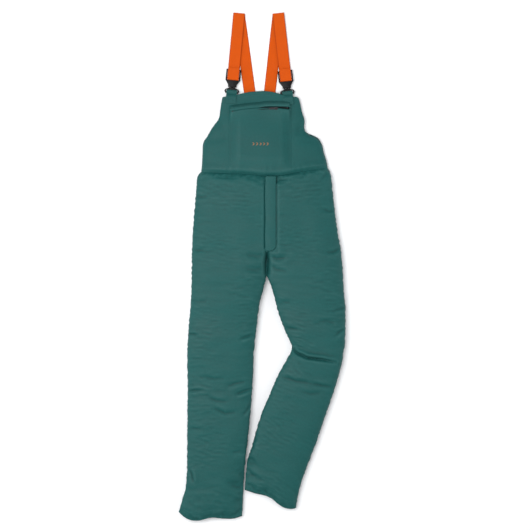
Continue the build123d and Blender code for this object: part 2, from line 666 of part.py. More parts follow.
def tab(side):
    """The green tab, in the buckle's frame: over the bib, through the plug and back."""
    gap = PLUG_THICK / 2 + TAB_GAP
    out = gap + TAB_THICK
    top = PLUG_WINDOW_BOTTOM + TAB_GAP
    turn = PLUG_BAR_BOTTOM - TAB_GAP
    edge_y = WAIST_Y + BIB_CORNER_RISE + TAB_PAST_EDGE - BAR_Y[side]
    edge_z = bib_height(WAIST_Y + BIB_CORNER_RISE) + TAB_LIFT - BUCKLE_Z
    joint = (turn + edge_y) / 2
    end_y = edge_y - TAB_PAST_EDGE - TAB_ON_BIB
    end_z = bib_height(WAIST_Y + BIB_CORNER_RISE - TAB_ON_BIB) + TAB_LIFT - BUCKLE_Z
    outer = [
        (top + TAB_THICK, out), (top + TAB_THICK, -out), (turn, -out), (joint, edge_z / 2),
        (edge_y, edge_z), (end_y, end_z), (end_y, end_z + TAB_THICK), (edge_y, edge_z + TAB_THICK),
        (joint, edge_z), (turn, out),
    ]
    hole = [(top, gap), (top, -gap), (turn, -gap), (turn, gap)]
    solid = profile(outer, TAB_WIDTH) - profile(hole, 2 * TAB_WIDTH)
    return solid


def bib_height(y):
    """Height of the bib's front over the surface."""
    return HIP_TOP - (HIP_TOP - BIB_TOP) * (y - WAIST_Y) / BIB_TOP_RISE


def profile(points, width):
    """A bar along x whose side view is the outline of (y, z) points."""
    face = make_face(Polyline(*[(0, y, z) for y, z in points], close=True))
    return Pos(-width / 2, 0, 0) * extrude(face, width, dir=(1, 0, 0))


def strap_rear(side):
    """The rear run, flat on the surface from the back's top to the fold."""
    sign = SIGN[side]
    foot_y = WAIST_Y + BACK_RISE + TRIM_GAP
    half = STRAP_WIDTH / 2

    def run(foot_x):
        return atan2(FOLD_X[side] - foot_x, FOLD_Y - foot_y)

    foot_x = ANCHOR_X + sign * (half + ANCHOR_SPREAD)
    foot_x = ANCHOR_X + sign * (half / cos(run(foot_x)) + ANCHOR_SPREAD)
    across = half / cos(run(foot_x))
    outline = Polyline((foot_x - across, foot_y), (foot_x + across, foot_y),
                       (FOLD_X[side] + across, FOLD_Y), (FOLD_X[side] - across, FOLD_Y), close=True)
    web = extrude(make_face(outline), STRAP_THICK)
    length = strap_angle(side)[1]
    past = block(-STRAP_WIDTH, STRAP_WIDTH, length - fold_radius() - STRAP_CLEAR, length + STRAP_WIDTH,
                 -OVERSIZE, OVERSIZE)
    return web - on_buckle(side) * past


def make_braces():
    """Both braces, their buckles and their tabs."""
    parts = {"buckle_housing": housing(), "buckle_plug": plug(), "buckle_arm_outer": None,
             "buckle_arm_inner": None}
    for side in SIDES:
        at, sign = on_buckle(side), SIGN[side]
        parts["buckle_arm_outer"], parts["buckle_arm_inner"] = arm(sign), arm(-sign)
        for name, shape in parts.items():
            nodes[f"{name}_{side}"] = at * shape
        nodes[f"strap_front_{side}"] = at * strap_front(side)
        nodes[f"tab_{side}"] = at * tab(side)
        nodes[f"strap_rear_{side}"] = strap_rear(side)
    y = WAIST_Y + BACK_RISE
    z = BACK_STACK + TRIM_GAP
    nodes["strap_anchor"] = block(ANCHOR_X - ANCHOR_WIDTH / 2, ANCHOR_X + ANCHOR_WIDTH / 2,
                                  y - ANCHOR_LENGTH / 2, y + ANCHOR_LENGTH / 2, z, z + ANCHOR_THICK)


def make_trim():
    """Bartacks at the pocket's mouth and the fly, and a plain row of chevrons on the pocket."""
    tack = Box(TACK_WIDTH, TACK_LENGTH, TACK_HEIGHT)
    face = POCKET_DEPTH + POCKET_FABRIC + 2 * TRIM_GAP
    reach = slit_half_length() + MOUTH_MARGIN / 2
    tacks = [mouth() * (Pos(end * reach, 0, face + TACK_HEIGHT / 2) * tack) for end in (-1, 1)]
    low = fly_span()[0]
    tacks.append(Pos(FLY_FLAP_LEFT, low - TACK_LENGTH, HIP_TOP + TRIM_GAP + TACK_HEIGHT / 2) * tack)
    nodes["bartacks"] = Compound(tacks)

    size = EMBLEM_SIZE
    points = [(-size / 4, -size / 2), (size / 8, -size / 2), (size / 2, 0), (size / 8, size / 2),
              (-size / 4, size / 2), (size / 8, 0)]
    chevron = extrude(make_face(Polyline(*points, close=True)), EMBLEM_HEIGHT)
    row = []
    for number in range(EMBLEM_COUNT):
        x = EMBLEM_X + (number - (EMBLEM_COUNT - 1) / 2) * EMBLEM_PITCH
        row.append(on_bib() * (Pos(x, EMBLEM_UP, face) * chevron))
    nodes["emblem"] = Compound(row)


def build():
    """Make every node, then move the origin to the middle of the whole, on the surface."""
    for side in SIDES:
        make_leg(side)
    make_bib()
    make_pocket()
    pins = {"pocket": make_pocket_zip(), "fly": make_fly()}
    make_waist()
    make_braces()
    make_trim()
    boxes = [shape.bounding_box() for shape in nodes.values()]
    middle = [(min(getattr(b.min, c) for b in boxes) + max(getattr(b.max, c) for b in boxes)) / 2
              for c in "XY"]
    shift = Pos(-middle[0], -middle[1], 0)
    for name, shape in nodes.items():
        nodes[name] = shift * shape
    return shift, pins


SHIFT, PINS = build()
os.makedirs("parts", exist_ok=True)
for node, shape in nodes.items():
    export_step(shape, f"parts/{node}.step")
print(len(nodes), "nodes, origin moved by", [round(v, 3) for v in SHIFT.position])
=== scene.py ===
"""Padded chainsaw bib-and-brace trousers, laid flat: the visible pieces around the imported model."""
import json
import math

import bmesh
import bpy
import numpy as np
from mathutils import Matrix, Vector, noise
from mathutils.bvhtree import BVHTree

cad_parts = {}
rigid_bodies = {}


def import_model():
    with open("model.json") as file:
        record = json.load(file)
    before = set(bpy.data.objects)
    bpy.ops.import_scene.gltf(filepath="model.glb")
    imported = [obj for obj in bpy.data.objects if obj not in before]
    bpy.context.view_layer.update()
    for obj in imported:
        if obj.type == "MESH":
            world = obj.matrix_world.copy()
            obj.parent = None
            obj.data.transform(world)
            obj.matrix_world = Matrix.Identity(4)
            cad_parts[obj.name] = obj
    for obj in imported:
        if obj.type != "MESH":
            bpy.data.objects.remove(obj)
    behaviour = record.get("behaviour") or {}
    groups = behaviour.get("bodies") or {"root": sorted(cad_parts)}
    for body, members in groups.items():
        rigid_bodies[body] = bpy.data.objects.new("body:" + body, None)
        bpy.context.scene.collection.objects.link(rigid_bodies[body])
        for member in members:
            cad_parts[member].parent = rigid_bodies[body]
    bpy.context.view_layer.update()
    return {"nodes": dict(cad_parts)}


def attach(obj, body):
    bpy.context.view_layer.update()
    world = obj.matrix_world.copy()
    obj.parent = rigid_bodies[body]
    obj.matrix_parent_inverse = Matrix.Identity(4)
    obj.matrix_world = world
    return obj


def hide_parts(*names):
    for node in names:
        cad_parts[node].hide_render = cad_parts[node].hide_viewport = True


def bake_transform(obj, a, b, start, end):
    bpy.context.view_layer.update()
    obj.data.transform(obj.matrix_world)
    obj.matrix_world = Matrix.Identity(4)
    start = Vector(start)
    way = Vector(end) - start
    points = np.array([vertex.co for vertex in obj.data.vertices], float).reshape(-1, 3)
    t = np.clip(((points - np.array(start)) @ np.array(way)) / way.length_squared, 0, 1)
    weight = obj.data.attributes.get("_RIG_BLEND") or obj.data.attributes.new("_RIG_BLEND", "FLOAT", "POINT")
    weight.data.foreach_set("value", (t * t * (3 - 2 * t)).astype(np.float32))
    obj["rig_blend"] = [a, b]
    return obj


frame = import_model()

bl_info = {
    "name": "Padded bib trousers",
    "version": (1, 0, 0),
    "blender": (4, 5, 0),
    "location": "View3D > Sidebar > Trousers",
    "description": "Builds padded chainsaw trousers with a bib, braces and buckles",
    "category": "Add Mesh",
}

MM = 0.001
SIDES = ("right", "left")          # as the wearer has them
SIGN = {"right": -1.0, "left": 1.0}

# Trouser legs, in millimetres: outer edge x, y, inner edge x, y and top, from the hem up to the crotch
LEG = {
    "right": [
        (-290, -841, -72, -853, 33), (-279, -800, -70, -812, 35), (-268, -768, -68, -770, 37),
        (-264, -717, -64, -718, 39), (-264, -642, -56, -640, 40), (-264, -562, -45, -562, 41),
        (-264, -492, -39, -490, 42), (-263, -422, -34, -422, 43), (-264, -355, -31, -352, 43),
        (-264, -287, -29, -287, 44), (-259, -210, -20, -212, 44), (-252, -137, -12, -137, 45),
        (-250, -85, 2, -82, 45), (-249, -37, 12.8, -37, 45),
    ],
    "left": [
        (113, -829, -63, -766, 33), (129, -765, -58, -702, 36), (144, -720, -52, -653, 38),
        (164, -668, -36, -598, 39), (187, -609, -18, -528, 40), (213, -533, 15, -448, 42),
        (242, -448, 55, -362, 43), (257, -402, 80, -322, 44), (274, -337, 100, -279, 43),
        (282, -290, 88, -252, 44), (286, -247, 72, -221, 45), (288, -192, 50, -162, 45),
        (286, -127, 37, -107, 45), (281, -78, 27, -73, 45), (279, -40, 12.8, -37, 45),
    ],
}
HIP_EDGE = {                       # outer edge from the crotch's height up to the waist
    "right": [(-249, 49), (-244, 134), (-237, 229), (-233, 275), (-229, 299), (-222, 313), (-210, 320)],
    "left": [(273, 43), (258, 124), (250, 194), (244, 254), (238, 300), (231, 322), (221, 337)],
}
CENTRE = [(12.8, -37), (12.5, 49), (11, 134), (10, 220), (10, 308)]
WAIST = [(-212, 320), (-120, 316), (-36, 311), (-10, 308), (54, 308), (115, 319), (218, 336)]
HEM_WAVE = {                       # share of the way from the inner edge, drop of the front, drop of the back
    "right": [(0, -3, -6), (.11, -10, -16), (.3, -13, -20), (.5, -16, -18), (.7, -28, -28), (.86, -24, -24),
              (.95, -13, -13), (1, -6, -6)],
    "left": [(0, 0, -4), (.2, 3, -4), (.4, 7, 0), (.51, 3, -1), (.65, -9, -9), (.79, -14, -14), (.92, -10, -10),
             (1, -4, -4)],
}
LEG_AXIS = {"right": Vector((0.03, 1, 0)).normalized(), "left": Vector((0.321, 0.947, 0)).normalized()}
SEAM = 14.0                        # height of the side seams
FLOOR = 0.8
HIP_LENGTH = 350.0
HEM_ROWS = 5                       # rows up the leg that a hem's turn-up lies along
HEM_TURN = ((1.0, -0.4), (1.5, 0.8), (0.4, 8), (0.2, 12), (0.1, 12))   # steps inwards and up the leg

# Creases: points, width, depth, lip, and which side of the line the lip is on (1 is up or left)
CREASES = [
    ([(94, -276), (115, -299), (150, -315), (205, -322), (248, -331)], 4.5, 13, 5, 1),
    ([(14, 47), (13, 10), (12.8, -36)], 8, 15, 0, 1),
    ([(15, 52), (14, 30), (16, 5)], 4, 8, 0, 1),
    ([(-262, -236), (-250, -234), (-226, -237)], 5, 3.5, 2, 1),
    ([(-30, -236), (-45, -240), (-80, -252)], 5, 4, 2, 1),
    ([(-258, -428), (-240, -428), (-206, -426)], 5, 4, 2, 1),
    ([(-36, -420), (-60, -428), (-92, -440)], 6, 5, 2.5, 1),
    ([(-60, -396), (-90, -402), (-124, -413)], 7, 2.5, 1.2, 1),
    ([(-190, -450), (-160, -462), (-120, -466)], 8, 2.2, 1.2, 1),
    ([(-170, -485), (-130, -505), (-90, -500)], 8, 2.4, 1.2, 1),
    ([(-40, -470), (-52, -492), (-70, -512)], 6, 3, 1.5, 1),
    ([(-200, -380), (-165, -388), (-130, -384)], 8, 1.8, 1, 1),
    ([(-258, -560), (-235, -556), (-205, -560)], 7, 1.8, 1, 1),
    ([(-50, -640), (-80, -634), (-110, -640)], 8, 1.8, 1, 1),
    ([(-250, -696), (-244, -712), (-238, -742)], 5, 3, 1.6, 1),
    ([(68, -381), (110, -394), (158, -402)], 8, 2.4, 1.2, 1),
    ([(166, -402), (200, -410), (236, -414)], 7, 2.6, 1.4, 1),
    ([(120, -428), (160, -438), (200, -436)], 9, 1.8, 1, 1),
    ([(286, -142), (266, -148), (240, -154)], 6, 2.6, 1.4, 1),
    ([(180, -196), (215, -190), (250, -197)], 9, 2, 1.2, 1),
    ([(280, -216), (262, -226), (246, -240)], 6, 3, 1.6, 1),
    ([(54, -206), (82, -216), (120, -218)], 8, 2.2, 1.2, 1),
    ([(36, -120), (60, -128), (96, -126)], 8, 2, 1, 1),
    ([(-236, 238), (-210, 232), (-186, 236)], 7, 2.2, 1, 1),
    ([(-250, 60), (-222, 52), (-200, 54)], 8, 2, 1, 1),
    ([(252, 190), (228, 184), (204, 190)], 8, 2, 1, 1),
    ([(270, 60), (240, 46), (214, 44)], 8, 2.4, 1.2, 1),
    ([(20, 30), (46, 22), (80, 26)], 9, 3, 1.4, 1),
    ([(18, 4), (44, -14), (86, -22)], 9, 2.6, 1.2, 1),
    ([(8, 34), (-20, 30), (-60, 36)], 10, 2.4, 1.2, 1),
    ([(6, -8), (-24, -16), (-64, -12)], 10, 2, 1, 1),
    ([(-250, -120), (-220, -126), (-190, -122)], 8, 1.8, 1, 1),
]
CREASE_DEPTH, CREASE_LIP = 1.35, 1.3   # how far the creases above are exaggerated
WRINKLE = ((0.5, 21.0, 58.0), (0.36, 8.5, 24.0))   # height, spacing along the leg and across it
PUCKER = 2.4                       # how far the side seams pull the edges in and out
SWELL = 2.2                        # height of the broad unevenness on the padded parts
FILL_FRAMES = 20                   # steps of the cloth simulation
BIB_LEFT = [(-212, 317), (-209, 350), (-207, 386), (-204, 421), (-191, 446), (-171, 481), (-153, 506), (-147, 537),
            (-143.5, 562), (-140, 577)]
BIB_RIGHT = [(221, 334), (218, 352), (208, 386), (198, 421), (180, 444), (156, 456), (143, 472), (141.5, 506),
             (132, 537), (127, 562), (122, 577)]
BIB_EDGE_TOP = [(-143, 569), (-139, 575), (-130, 577), (-104, 579), (-88, 584), (-66, 590), (-28, 595), (10, 596),
                (38, 592), (58, 586), (76, 580), (104, 577), (116, 576), (125, 569)]
BIB_WAIST_TOP = 44.5
BIB_SLOPE = 28.0 / 281.0
BACK_TOP_Y = 503.0
SIDE_SPLIT = 425.0                 # the sides are open above this
POCKET_X = (-118.0, 97.0)
ZIP_MIDDLE = (-10.6, 531.5)
ZIP_TILT = math.tan(math.radians(3.28))
ZIP_OPEN_X = 43.0                  # the slider; the zip is open to the right of it
FLY_X = (6.8, 43.8)
FLY_Y = (48.8, 303.4)
FLY_ROUND = 20.0                   # radius of the flap's lower corner
FLY_SEAM = [(45.5, 302), (45.5, 76), (42, 60), (32, 50), (16, 45.5), (8, 46)]
FLY_FLAP_TOP = 47.9                # height of the flap's edges
FLAP_BED = 44.6                    # height that the hips are pressed down to under the flap
FLY_TRAY = 41.0                    # height of the hollow that holds the fly zip
SEAM_PRESS = 2.6                   # depth and half width of the flap's stitched line
FLY_ZIP_X = 24.8
FLY_ZIP_Y = (66, 287)
FLY_ZIP_TOP = 41.9                 # height of the fly zip's tapes
POCKET_ZIP_X = (-102, 81)
POCKET_ZIP_TOP = 32.3              # height of the pocket zip's tapes
TAPE_HALF = 9.0
TOOTH_PITCH = 1.5
EMBLEM_X = (-35.0, -23.0, -11.0, 1.0, 13.0)   # where each chevron starts
EMBLEM_Y = 413.5
CHEVRON = (5.0, 4.6)               # length and half height
THREAD_PITCH = 0.62                # between the emblem's threads
BAR = {"right": (-103.18, 641.61), "left": (77.82, 637.61)}
BRACE_LENGTH = {"right": 224.98, "left": 229.48}
BRACE_AXIS = {"right": (0.09334, 0.99563), "left": (-0.11330, 0.99356)}
REAR_FOOT_X = {"right": -31.2, "left": 10.8}

# Stage, in metres
LIGHTS = (                         # name, place, width and share of the overhead light's power
    ("overhead", (-0.95, 0.3, 3.2), 2.4, 1.0),
    ("side_left", (-3.0, -0.4, 1.9), 2.2, 0.32),
    ("side_right", (3.0, -0.2, 1.9), 2.2, 0.32),
)
ROOM_LIGHT = 0.51
LENS, SENSOR = 100.0, 36.0         # in millimetres
VIEW_WIDTH = 1.8126                # how much of the level below the camera takes in
VIEW_LEVEL = 0.02
VIEW_MIDDLE = (0.0064, 0.0010)


class TrouserSizes(bpy.types.PropertyGroup):
    """Sizes of the cloth, thread and light that can be changed."""

    mesh_step: bpy.props.FloatProperty(
        name="Cloth grid", description="Distance between points of the legs' cloth before it is subdivided",
        default=0.0065, min=0.004, max=0.02, unit="LENGTH")
    puff: bpy.props.FloatProperty(
        name="Padding pressure", description="How hard the padding fills out the legs", default=4.0, min=0.0, max=10.0)
    slack: bpy.props.FloatProperty(
        name="Slack", description="Share of spare cloth in the legs, which shows as puckers", default=0.03, min=0.0,
        max=0.1, subtype="FACTOR")
    fill_limit: bpy.props.FloatProperty(
        name="Fill limit", description="Furthest that the padding moves the cloth", default=0.008, min=0.0, max=0.02,
        unit="LENGTH")
    stitch_pitch: bpy.props.FloatProperty(
        name="Stitch pitch", description="Distance from stitch to stitch", default=0.0038, min=0.002, max=0.01,
        unit="LENGTH")
    strap_width: bpy.props.FloatProperty(
        name="Brace width", description="Width of the elastic braces", default=0.040, min=0.02, max=0.05,
        unit="LENGTH")
    edge_round: bpy.props.FloatProperty(
        name="Buckle edge", description="Rounding of the moulded buckle's edges", default=0.0005, min=0.0, max=0.001,
        unit="LENGTH")
    key_light: bpy.props.FloatProperty(
        name="Overhead light", description="Power of the large soft light overhead", default=95.0, min=0.0,
        max=1000.0, unit="POWER")


class TrouserColours(bpy.types.PropertyGroup):
    """Colours that can be changed."""

    fabric: bpy.props.FloatVectorProperty(
        name="Fabric", description="Outer fabric and its tabs", default=(0.0046, 0.0695, 0.0665), size=3, min=0, max=1,
        subtype="COLOR")
    lining: bpy.props.FloatVectorProperty(
        name="Lining", description="Inside of the legs and bib", default=(0.004, 0.013, 0.0135), size=3, min=0, max=1,
        subtype="COLOR")
    webbing: bpy.props.FloatVectorProperty(
        name="Braces", description="Elastic webbing", default=(0.58, 0.076, 0.0005), size=3, min=0, max=1,
        subtype="COLOR")
    plastic: bpy.props.FloatVectorProperty(
        name="Buckles", description="Moulded plastic", default=(0.0025, 0.0022, 0.0028), size=3, min=0, max=1,
        subtype="COLOR")
    metal: bpy.props.FloatVectorProperty(
        name="Zip metal", description="Sliders, pulls and stops", default=(0.035, 0.035, 0.038), size=3, min=0, max=1,
        subtype="COLOR")
    floor: bpy.props.FloatVectorProperty(
        name="Floor", description="The pale floor", default=(0.86, 0.865, 0.88), size=3, min=0, max=1,
        subtype="COLOR")


# ---------------------------------------------------------------- numbers

def smooth(knots, values, at):
    """A smooth curve through the values at the knots, read at other places."""
    knots, values, at = (np.asarray(a, float) for a in (knots, values, at))
    slope = np.gradient(values, knots, axis=0)
    i = np.clip(np.searchsorted(knots, at, side="right") - 1, 0, len(knots) - 2)
    span = knots[i + 1] - knots[i]
    t = np.clip((at - knots[i]) / span, 0, 1)
    if values.ndim > 1:
        span, t = span[:, None], t[:, None]
    a, b, da, db = values[i], values[i + 1], slope[i] * span, slope[i + 1] * span
    return a * (2 * t**3 - 3 * t**2 + 1) + b * (3 * t**2 - 2 * t**3) + da * (t**3 - 2 * t**2 + t) + db * (t**3 - t**2)


def read(table, at, column=1):
    """A table's column as a smooth function of its first column."""
    rows = sorted(table)
    return smooth([r[0] for r in rows], [r[column] for r in rows], at)


def edge_x(points, y):
    """x of an edge given as (x, y) points, at heights y."""
    return smooth([p[1] for p in points], [p[0] for p in points], y)


def ease(x):
    """0 to 1 with level ends."""
    x = np.clip(x, 0, 1)
    return x * x * (3 - 2 * x)


def bump(x, centre, width):
    """1 at the centre, falling to nothing some widths away."""
    return np.exp(-((np.asarray(x, float) - centre) / width) ** 2)


def arc_samples(x, z, width, height, count):
    """count + 1 points of a section, evenly spaced along it at its real size."""
    run = np.concatenate([[0], np.cumsum(np.hypot(np.diff(x) * width, np.diff(z) * height))])
    at = np.linspace(0, run[-1], count + 1)
    return np.interp(at, run, x), np.interp(at, run, z)


def lens(count, power, width, height, whole=True):
    """A padded section from edge to edge, or from its middle to one edge, x and z from 0 to 1."""
    angle = np.linspace(math.pi if whole else math.pi / 2, 0, 400)
    x = np.sign(np.cos(angle)) * np.abs(np.cos(angle)) ** (2 / power)
    z = np.abs(np.sin(angle)) ** (2 / power)
    if whole:
        x = (x + 1) / 2
    return arc_samples(x, z, width, height, count)


def from_line(xy, points):
    """Distance of points from a polyline, signed to its left, and their share of the way along it."""
    path = np.asarray(points, float)
    lengths = np.hypot(*np.diff(path, axis=0).T)
    start = np.concatenate([[0], np.cumsum(lengths)])
    best, side, along = np.full(len(xy), 1e9), np.ones(len(xy)), np.zeros(len(xy))
    for a, b, run, length in zip(path[:-1], path[1:], start, lengths):
        d = (b - a) / length
        rel = xy - a
        t = np.clip(rel @ d, 0, length)
        off = rel - t[:, None] * d
        dist = np.hypot(off[:, 0], off[:, 1])
        nearer = dist < best
        best = np.where(nearer, dist, best)
        side = np.where(nearer, np.sign(d[0] * off[:, 1] - d[1] * off[:, 0]), side)
        along = np.where(nearer, (run + t) / start[-1], along)
    return best, side, along


# ---------------------------------------------------------------- meshes

def grid(bm, across, along, place):
    """Adds a grid whose points place(u, v) puts, both from 0 to 1, in millimetres. Returns its vertices and u, v."""
    made = bmesh.ops.create_grid(bm, x_segments=across, y_segments=along, size=1.0)["verts"]
    co = np.array([v.co for v in made])
    u, v = (co[:, 0] + 1) / 2, (co[:, 1] + 1) / 2
    for vertex, point in zip(made, place(u, v)):
        vertex.co = Vector(point) * MM
    return made, u, v


def lay_uv(bm, verts, flat):
    """Writes the cloth's own flat coordinates, in metres, as a UV map."""
    layer = bm.loops.layers.uv.get("cloth") or bm.loops.layers.uv.new("cloth")
    place = {vertex: uv for vertex, uv in zip(verts, flat)}
    for face in {f for vertex in verts for f in vertex.link_faces}:
        for loop in face.loops:
            if loop.vert in place:
                loop[layer].uv = place[loop.vert]


def up_first(bm):
    """Turns the faces so that most of them look up."""
    bm.normal_update()
    if sum(f.normal.z * f.calc_area() for f in bm.faces) < 0:
        bmesh.ops.reverse_faces(bm, faces=bm.faces)
    bm.normal_update()


def new_object(name, bm, material):
    """A smooth-shaded object in the scene with that material."""
    mesh = bpy.data.meshes.new(name)
    bm.to_mesh(mesh)
    bm.free()
    mesh.polygons.foreach_set("use_smooth", [True] * len(mesh.polygons))
    mesh.materials.append(material)
    obj = bpy.data.objects.new(name, mesh)
    bpy.context.scene.collection.objects.link(obj)
    return obj


def belong(obj, body, slot, *nodes):
    """The piece rides on its body and stands for those CAD nodes, which are hidden; the slot is not used."""
    if body:
        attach(obj, body)
    if nodes:
        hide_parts(*nodes)
    return obj


def thicken(obj, thickness, offset=-1.0, levels=1):
    """Gives cloth its thickness and one round of subdivision."""
    wall = obj.modifiers.new("Thickness", "SOLIDIFY")
    wall.thickness = thickness * MM
    wall.offset = offset
    wall.use_even_offset = False
    divide(obj, levels)


def divide(obj, levels=1):
    """Adds a live subdivision."""
    if levels:
        sub = obj.modifiers.new("Smooth", "SUBSURF")
        sub.levels = sub.render_levels = levels
    return obj


def points_of(mesh):
    """The mesh's vertices as an array in metres."""
    co = np.empty(len(mesh.vertices) * 3)
    mesh.vertices.foreach_get("co", co)
    return co.reshape(-1, 3)


def put_points(mesh, co):
    """Writes the vertices back."""
    mesh.vertices.foreach_set("co", np.ascontiguousarray(co, dtype=np.float32).ravel())
    mesh.update()


def edges_of(mesh):
    """The mesh's edges as pairs of vertex numbers."""
    pairs = np.empty(len(mesh.edges) * 2, int)
    mesh.edges.foreach_get("vertices", pairs)
    return pairs.reshape(-1, 2)


def normals_of(mesh):
    """The vertex normals as an array."""
    out = np.empty(len(mesh.vertices) * 3, np.float32)
    mesh.vertex_normals.foreach_get("vector", out)
    return out.reshape(-1, 3).astype(float)


def neighbours_mean(values, pairs, count):
    """Each point's mean over its neighbours."""
    total, number = np.zeros((count, values.shape[1])), np.zeros(count)
    for a, b in ((0, 1), (1, 0)):
        np.add.at(total, pairs[:, a], values[pairs[:, b]])
        np.add.at(number, pairs[:, a], 1)
    return total / np.maximum(number, 1)[:, None]


def mark_folds(obj):
    """Stores where the cloth is a ridge or a hollow, for the wear on its ridges and the painted shade in its hollows.
    """
    mesh = obj.data
    co, pairs = points_of(mesh), edges_of(mesh)
    raised = np.einsum("ij,ij->i", co - neighbours_mean(co, pairs, len(co)), normals_of(mesh))
    value = np.clip(raised / (0.25 * MM), -1, 1)[:, None]
    for _ in range(2):
        value = (value + neighbours_mean(value, pairs, len(co))) / 2
    layer = mesh.attributes.get("fold") or mesh.attributes.new("fold", "FLOAT", "POINT")
    layer.data.foreach_set("value", value[:, 0].astype(np.float32))


def top_of(*objects):
    """A function that gives the highest point and normal over (x, y), in metres, of the pieces as they stand."""
    depsgraph = bpy.context.evaluated_depsgraph_get()
    trees = [BVHTree.FromObject(o, depsgraph) for o in objects]

    def top(x, y):
        hits = [tree.ray_cast(Vector((x, y, 1)), Vector((0, 0, -1))) for tree in trees]
        hits = [hit for hit in hits if hit[0] is not None]
        if not hits:
            return None
        best = max(hits, key=lambda hit: hit[0].z)
        return best[0], best[1] if best[1].z > 0 else -best[1]

    return top


def heights(top, xy, missing):
    """Heights in millimetres over points in millimetres."""
    found = [top(x * MM, y * MM) for x, y in xy]
    return np.array([missing if hit is None else hit[0].z / MM for hit in found])


# ---------------------------------------------------------------- materials

def group_with(name, inputs, outputs):
    """An empty node group with those named inputs (name, kind, default) and outputs (name, kind)."""
    tree = bpy.data.node_groups.new(name, "ShaderNodeTree")
    for label, kind, default in inputs:
        socket = tree.interface.new_socket(label, in_out="INPUT", socket_type=kind)
        if default is not None:
            socket.default_value = default
    for label, kind in outputs:
        tree.interface.new_socket(label, in_out="OUTPUT", socket_type=kind)
    return tree, tree.nodes.new("NodeGroupInput"), tree.nodes.new("NodeGroupOutput")


def add(tree, kind, settings=(), **inputs):
    """Adds a node; inputs are values or sockets, by socket name with _ for a space, or by number as n0, n1."""
    node = tree.nodes.new(kind)
    for key, value in dict(settings).items():
        setattr(node, key, value)
    for key, value in inputs.items():
        number = key[0] == "n" and key[1:].isdigit()
        socket = node.inputs[int(key[1:]) if number else key.replace("_", " ")]
        if isinstance(value, bpy.types.NodeSocket):
            tree.links.new(value, socket)
        else:
            socket.default_value = value
    return node


def math_node(tree, operation, a, b=0.0, clamp=False):
    """One arithmetic node's result."""
    return add(tree, "ShaderNodeMath", {"operation": operation, "use_clamp": clamp}, n0=a, n1=b).outputs[0]


def span_node(tree, value, low, high, to_low, to_high):
    """A value moved from one range to another."""
    return add(tree, "ShaderNodeMapRange", {"clamp": True}, Value=value, From_Min=low, From_Max=high,
               To_Min=to_low, To_Max=to_high).outputs[0]


def weave_group():
    """Plain weave: threads over and under each other, and a slight unevenness of the yarn."""
    tree = bpy.data.node_groups.get("weave")
    if tree:
        return tree
    tree, inn, out = group_with(
        "weave", [("Vector", "NodeSocketVector", None), ("Threads", "NodeSocketFloat", 1400.0)],
        [("Height", "NodeSocketFloat"), ("Yarn", "NodeSocketFloat")])
    scaled = add(tree, "ShaderNodeVectorMath", {"operation": "SCALE"}, Vector=inn.outputs["Vector"],
                 Scale=inn.outputs["Threads"]).outputs[0]
    split = add(tree, "ShaderNodeSeparateXYZ", Vector=scaled)
    across = math_node(tree, "SINE", math_node(tree, "MULTIPLY", split.outputs[0], math.pi))
    along = math_node(tree, "SINE", math_node(tree, "MULTIPLY", split.outputs[1], math.pi))
    over = math_node(tree, "MULTIPLY", across, along)
    ridge = math_node(tree, "ADD", math_node(tree, "ABSOLUTE", across), math_node(tree, "ABSOLUTE", along))
    height = math_node(tree, "ADD", math_node(tree, "MULTIPLY", over, 0.5), math_node(tree, "MULTIPLY", ridge, 0.25))
    yarn = add(tree, "ShaderNodeTexNoise", Vector=scaled, Scale=0.11, Detail=3.0, Roughness=0.7)
    tree.links.new(height, out.inputs["Height"])
    tree.links.new(yarn.outputs[0], out.inputs["Yarn"])
    return tree


def wear_and_shade_group():
    """Folds: ridges that have faded with wear and hollows darkened with painted shade, from the stored fold value."""
    tree = bpy.data.node_groups.get("fold_wear")
    if tree:
        return tree
    tree, inn, out = group_with(
        "fold_wear", [("Colour", "NodeSocketColor", None), ("Fade", "NodeSocketFloat", 0.25),
                      ("Shade", "NodeSocketFloat", 0.4)],
        [("Colour", "NodeSocketColor"), ("Ridge", "NodeSocketFloat")])
    fold = add(tree, "ShaderNodeAttribute", {"attribute_name": "fold", "attribute_type": "GEOMETRY"}).outputs["Fac"]
    ridge = span_node(tree, fold, 0.05, 0.8, 0.0, 1.0)
    hollow = span_node(tree, fold, -0.05, -0.8, 0.0, 1.0)
    faded = add(tree, "ShaderNodeMix", {"data_type": "RGBA", "blend_type": "SCREEN"},
                Factor=math_node(tree, "MULTIPLY", ridge, inn.outputs["Fade"]), n6=inn.outputs["Colour"],
                n7=(0.16, 0.3, 0.29, 1))
    # Painted shade: the colour in the hollows of folds is multiplied towards dark grey.
    shaded = add(tree, "ShaderNodeMix", {"data_type": "RGBA", "blend_type": "MULTIPLY"},
                 Factor=math_node(tree, "MULTIPLY", hollow, inn.outputs["Shade"]), n6=faded.outputs[2],
                 n7=(0.25, 0.28, 0.28, 1))
    tree.links.new(shaded.outputs[2], out.inputs["Colour"])
    tree.links.new(ridge, out.inputs["Ridge"])
    return tree


